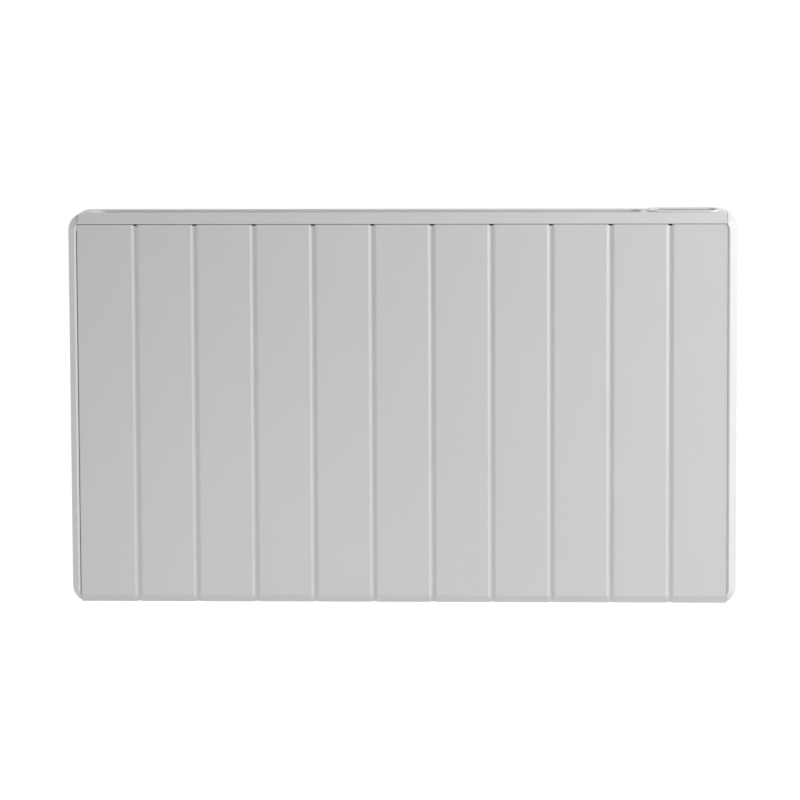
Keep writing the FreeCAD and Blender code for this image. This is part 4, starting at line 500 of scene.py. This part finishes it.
cover = bmesh.new()
cover_section = chain(cover, [
    ((cover_low.x, panel_low.y + trim_foot, cover_low.z + trim_gap), 0),
    ((cover_low.x, panel_low.y + trim_inset, cover_low.z + trim_gap), 0),
    ((cover_low.x, panel_low.y + trim_setback, deck_top), trim_rounding),
    ((cover_low.x, cover_high.y, deck_top), rear_rounding),
    ((cover_low.x, cover_high.y, deck_top - rear_drop), 0),
])
run = bmesh.ops.extrude_edge_only(cover, edges=cover_section)["geom"]
bmesh.ops.translate(cover, verts=only(BMVert, run), vec=(cover_high.x - cover_low.x, 0, 0))
bmesh.ops.recalc_face_normals(cover, faces=cover.faces)
for face in cover.faces:
    face.normal_update()
level_faces = [face for face in cover.faces if abs(face.normal.z) > level_least]
deck = [face for face in level_faces if near(face.calc_center_median().z, deck_top)]
outlet_x = (grille_low.x - outlet_gap, grille_high.x + outlet_gap)
outlet_y = (grille_low.y - outlet_gap, grille_high.y + outlet_gap)
control_x = (bezel_low.x + opening_inset, bezel_high.x - opening_inset)
control_y = (bezel_low.y + opening_inset, bezel_high.y - opening_inset)
outlet_middle = sum(outlet_x) / 2
deck = across(cover, deck, (*outlet_x, outlet_middle, *control_x), along_x)


def within(face, spans):
    """Whether the face's middle lies in the span of x and, where there is a second span, in that of y."""
    middle = face.calc_center_median()
    return all(low < middle[axis] < high for axis, (low, high) in enumerate(spans))


across(cover, [face for face in deck if within(face, (outlet_x,))], outlet_y, along_y)
control = [face for face in deck if face.is_valid and within(face, (control_x,))]
control = across(cover, control, control_y, along_y)
control = [face for face in control if within(face, (control_x, control_y))]
for side, end in ((0, 0), (0, 1), (1, 0), (1, 1)):
    outwards = Vector((2 * side - 1, 2 * end - 1, 0)).normalized()
    turn = Vector((control_x[side], control_y[end], 0)) - outwards * opening_corner * math.sqrt(2)
    limit = outwards.dot(turn) + opening_corner
    control = across(cover, control, (limit,), outwards)
    control = [face for face in control if outwards.dot(face.calc_center_median()) < limit]
bmesh.ops.delete(cover, geom=control, context="FACES_ONLY")
outlet = [face for face in cover.faces if within(face, (outlet_x, outlet_y))]
sunk = bmesh.ops.extrude_face_region(cover, geom=outlet)["geom"]
bmesh.ops.translate(cover, verts=only(BMVert, sunk), vec=(0, 0, grille_low.z - deck_top))
bmesh.ops.delete(cover, geom=[face for face in outlet if face.is_valid], context="FACES_ONLY")
spare_cuts = []
for edge in edges_where(cover, lambda place: near(place.z, deck_top)):
    start, end = [vert.co for vert in edge.verts]
    on_cut = any(near(start.x, cut_x) and near(end.x, cut_x) for cut_x in outlet_x)
    if on_cut and not outlet_y[0] < (start.y + end.y) / 2 < outlet_y[1]:
        spare_cuts.append(edge)
bmesh.ops.dissolve_edges(cover, edges=spare_cuts, use_verts=True)
well_corners = []
for edge in cover.edges:
    start, end = [vert.co for vert in edge.verts]
    upright = near(start.x, end.x) and near(start.y, end.y)
    if upright and abs(start.z - end.z) > well_least and not near(start.x, outlet_middle):
        well_corners.append(edge)
round_edges(cover, well_corners, outlet_corner, segments=7)
mouth = []
for edge in edges_where(cover, lambda place: near(place.z, deck_top)):
    walls = [face for face in edge.link_faces if abs(face.normal.z) < upright_most]
    over_wall = any(face.calc_center_median().z < wall_below for face in walls)
    if over_wall and outlet_x[0] - slack < edge.verts[0].co.x < outlet_x[1] + slack:
        mouth.append(edge)
round_edges(cover, mouth, mouth_round, segments=4)
well_floor = [face for face in cover.faces if near(face.calc_center_median().z, grille_low.z)]
bmesh.ops.inset_region(cover, faces=well_floor, thickness=outlet_ledge)
bmesh.ops.delete(cover, geom=well_floor, context="FACES_ONLY")
for step in range(end_cuts):
    cut_x = cap_turn_x + step * (cover_high.x - cap_turn_x) / end_cuts
    slice_form(cover, (-cut_x, cut_x), along_x, dist=cut_tolerance)
for vert in cover.verts:
    past = max(0.0, abs(vert.co.x) - cap_turn_x)
    vert.co.z = min(vert.co.z, deck_top - corner_radius + math.sqrt(corner_radius ** 2 - past ** 2))
place_piece(cover, "top_cover_look", case_plastic, "radiator", ["top_cover"], skin=cover_wall,
            edge=cover_edge)

# Outlet grille
# A moulded insert of leaning louvres on cross ribs, a shade darker than the cover, laid on the ledge of
# the outlet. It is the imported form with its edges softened.
grille_plastic = surface("grille_plastic", (0.5, 0.5, 0.49), 0.45, grain=1500.0)
place_refined("outlet_grille", grille_plastic, edge_fine)

# Control pod
# A raised bezel with a light grey gloss face, a tinted window over the display and five satin keys, each
# on its own body so that it can be pressed.
place_refined("control_bezel", case_plastic, edge_round)
fascia_gloss = surface("fascia_gloss", (0.5, 0.5, 0.5), 0.2, grain=600.0, relief=0.000005)
place_refined("control_fascia", fascia_gloss, edge_fine)
window_tint = surface("window_tint", (0.05, 0.06, 0.065), 0.1, grain=400.0, relief=0.000003)
place_refined("display_window", window_tint, edge_fine)
key_plastic = surface("key_plastic", (0.6, 0.6, 0.59), 0.38, grain=1800.0, worn=(0.68, 0.68, 0.67))
for key in ("standby", "back", "down", "up", "enter"):
    place_refined("button_" + key, key_plastic, edge_round, key + "_button")

# Electronics, lead and screws
# Two green boards in a black box under the pod, with their relay, switches and display, and the terminals,
# the cut-out, the sensor in its clip, the lead and all the screws. They keep their packed form.
board_green = surface("board_green", (0.08, 0.26, 0.14), 0.3, grain=500.0, relief=0.00004)
black_plastic = surface("black_plastic", (0.035, 0.035, 0.04), 0.42, grain=1600.0, relief=0.00003)
screw_zinc = surface("screw_zinc", (0.58, 0.58, 0.6), 0.34, metallic=0.95, grain=500.0,
                     worn=(0.76, 0.76, 0.77))
dress(board_green, "control_board", "power_board")
dress(black_plastic, "electronics_box", "power_relay", "tact_switches", "display_module", "terminal_block",
      "overheat_cutout", "sensor_holder")
dress(surface("lead_sheath", (0.55, 0.53, 0.5), 0.6, grain=800.0), "element_lead")
dress(screw_zinc, "room_sensor", "end_cap_screws", "rear_panel_screws", "board_screws")

# Mains switch and cable gland
# A black rocker in its frame, in the right cap's well, and a black gland in the rear panel where the
# supply enters.
place_refined("power_switch_body", black_plastic, edge_soft)
place_refined("power_switch_rocker", black_plastic, edge_soft, "rocker")
place_refined("cable_gland", black_plastic, edge_soft)

# Stage
# A pale floor well below the hung case, an even white room and five soft lamps. The two strongest lamps
# stand to the right, and the others fill in from the left and from low in front.
camera_place = Vector((0.287, -6.1911, 0.7297))
camera_yaw = math.radians(2.725)
camera_pitch = math.radians(-6.713)
camera_roll = math.radians(0.27)
camera_lens = 198.4
floor_drop = 0.35
floor_reach = 8.0
floor_paint = (0.8, 0.8, 0.8, 1.0)
floor_seen = (0.6, 0.6, 0.6, 1.0)
room_light = (0.48, 0.48, 0.48, 1.0)
black = (0.0, 0.0, 0.0, 1.0)
white = (1.0, 1.0, 1.0, 1.0)
camera = bpy.data.objects.new("camera", bpy.data.cameras.new("camera"))
camera.data.lens = camera_lens
camera.matrix_world = (
    Matrix.Translation(camera_place)
    @ Matrix.Rotation(camera_yaw, 4, "Z")
    @ Matrix.Rotation(math.pi / 2 + camera_pitch, 4, "X")
    @ Matrix.Rotation(-camera_roll, 4, "Z")
)
bpy.context.scene.collection.objects.link(camera)
bpy.context.scene.camera = camera
bpy.context.scene.view_settings.view_transform = "Standard"

floor_form = bmesh.new()
bmesh.ops.create_grid(floor_form, x_segments=4, y_segments=4, size=floor_reach)
bmesh.ops.translate(floor_form, verts=floor_form.verts, vec=(0, 0, cad_bounds[0].z - floor_drop))
floor_mesh = bpy.data.meshes.new("floor")
floor_form.to_mesh(floor_mesh)
floor_form.free()
floor = bpy.data.objects.new("floor", floor_mesh)
bpy.context.scene.collection.objects.link(floor)
floor_material, floor_shader, _ = blank_material("floor")
floor_shader.inputs["Base Color"].default_value = floor_paint
floor_shader.inputs["Roughness"].default_value = 0.9


def seen_directly(tree):
    """1 for a ray from the camera, a reflection or a clear piece, and 0 for one that only brings light."""
    path = tree.nodes.new("ShaderNodeLightPath")
    looks = [Wire(tree, path.outputs["Is " + kind + " Ray"]) for kind in ("Camera", "Glossy", "Transmission")]
    return (looks[0] + looks[1] + looks[2]).limited()


seen = seen_directly(floor_material.node_tree)
floor_shader.inputs["Emission Strength"].default_value = 1.0
seen.between(black, floor_seen).feed(floor_shader.inputs["Emission Color"])
floor_mesh.materials.append(floor_material)

world = bpy.data.worlds.new("room")
bpy.context.scene.world = world
world.use_nodes = True
backdrop = world.node_tree.nodes["Background"]
backdrop.inputs["Strength"].default_value = 1.0
seen = seen_directly(world.node_tree)
seen.between(room_light, white).feed(backdrop.inputs["Color"])


def soft_lamp(name, place, aim, size, power):
    """A square soft box that faces the point it is aimed at."""
    lamp = bpy.data.objects.new(name, bpy.data.lights.new(name, "AREA"))
    lamp.data.size = size
    lamp.data.energy = power
    lamp.location = place
    lamp.rotation_euler = (Vector(aim) - Vector(place)).to_track_quat("-Z", "Y").to_euler()
    bpy.context.scene.collection.objects.link(lamp)


soft_lamp("key", (2.2, -0.6, 1.2), (0.2, -0.1, 0.0), 0.6, 29.8)
soft_lamp("side", (1.3, -1.3, 0.5), (0.1, -0.1, 0.0), 0.6, 6.1)
soft_lamp("low", (0.4, -1.0, -0.45), (0.3, -0.1, -0.2), 0.6, 0.6)
soft_lamp("low_left", (-0.3, -0.7, -0.3), (-0.2, -0.1, -0.24), 0.5, 0.34)
soft_lamp("left", (-2.4, -0.5, 0.1), (0.0, -0.1, 0.0), 1.0, 5.7)
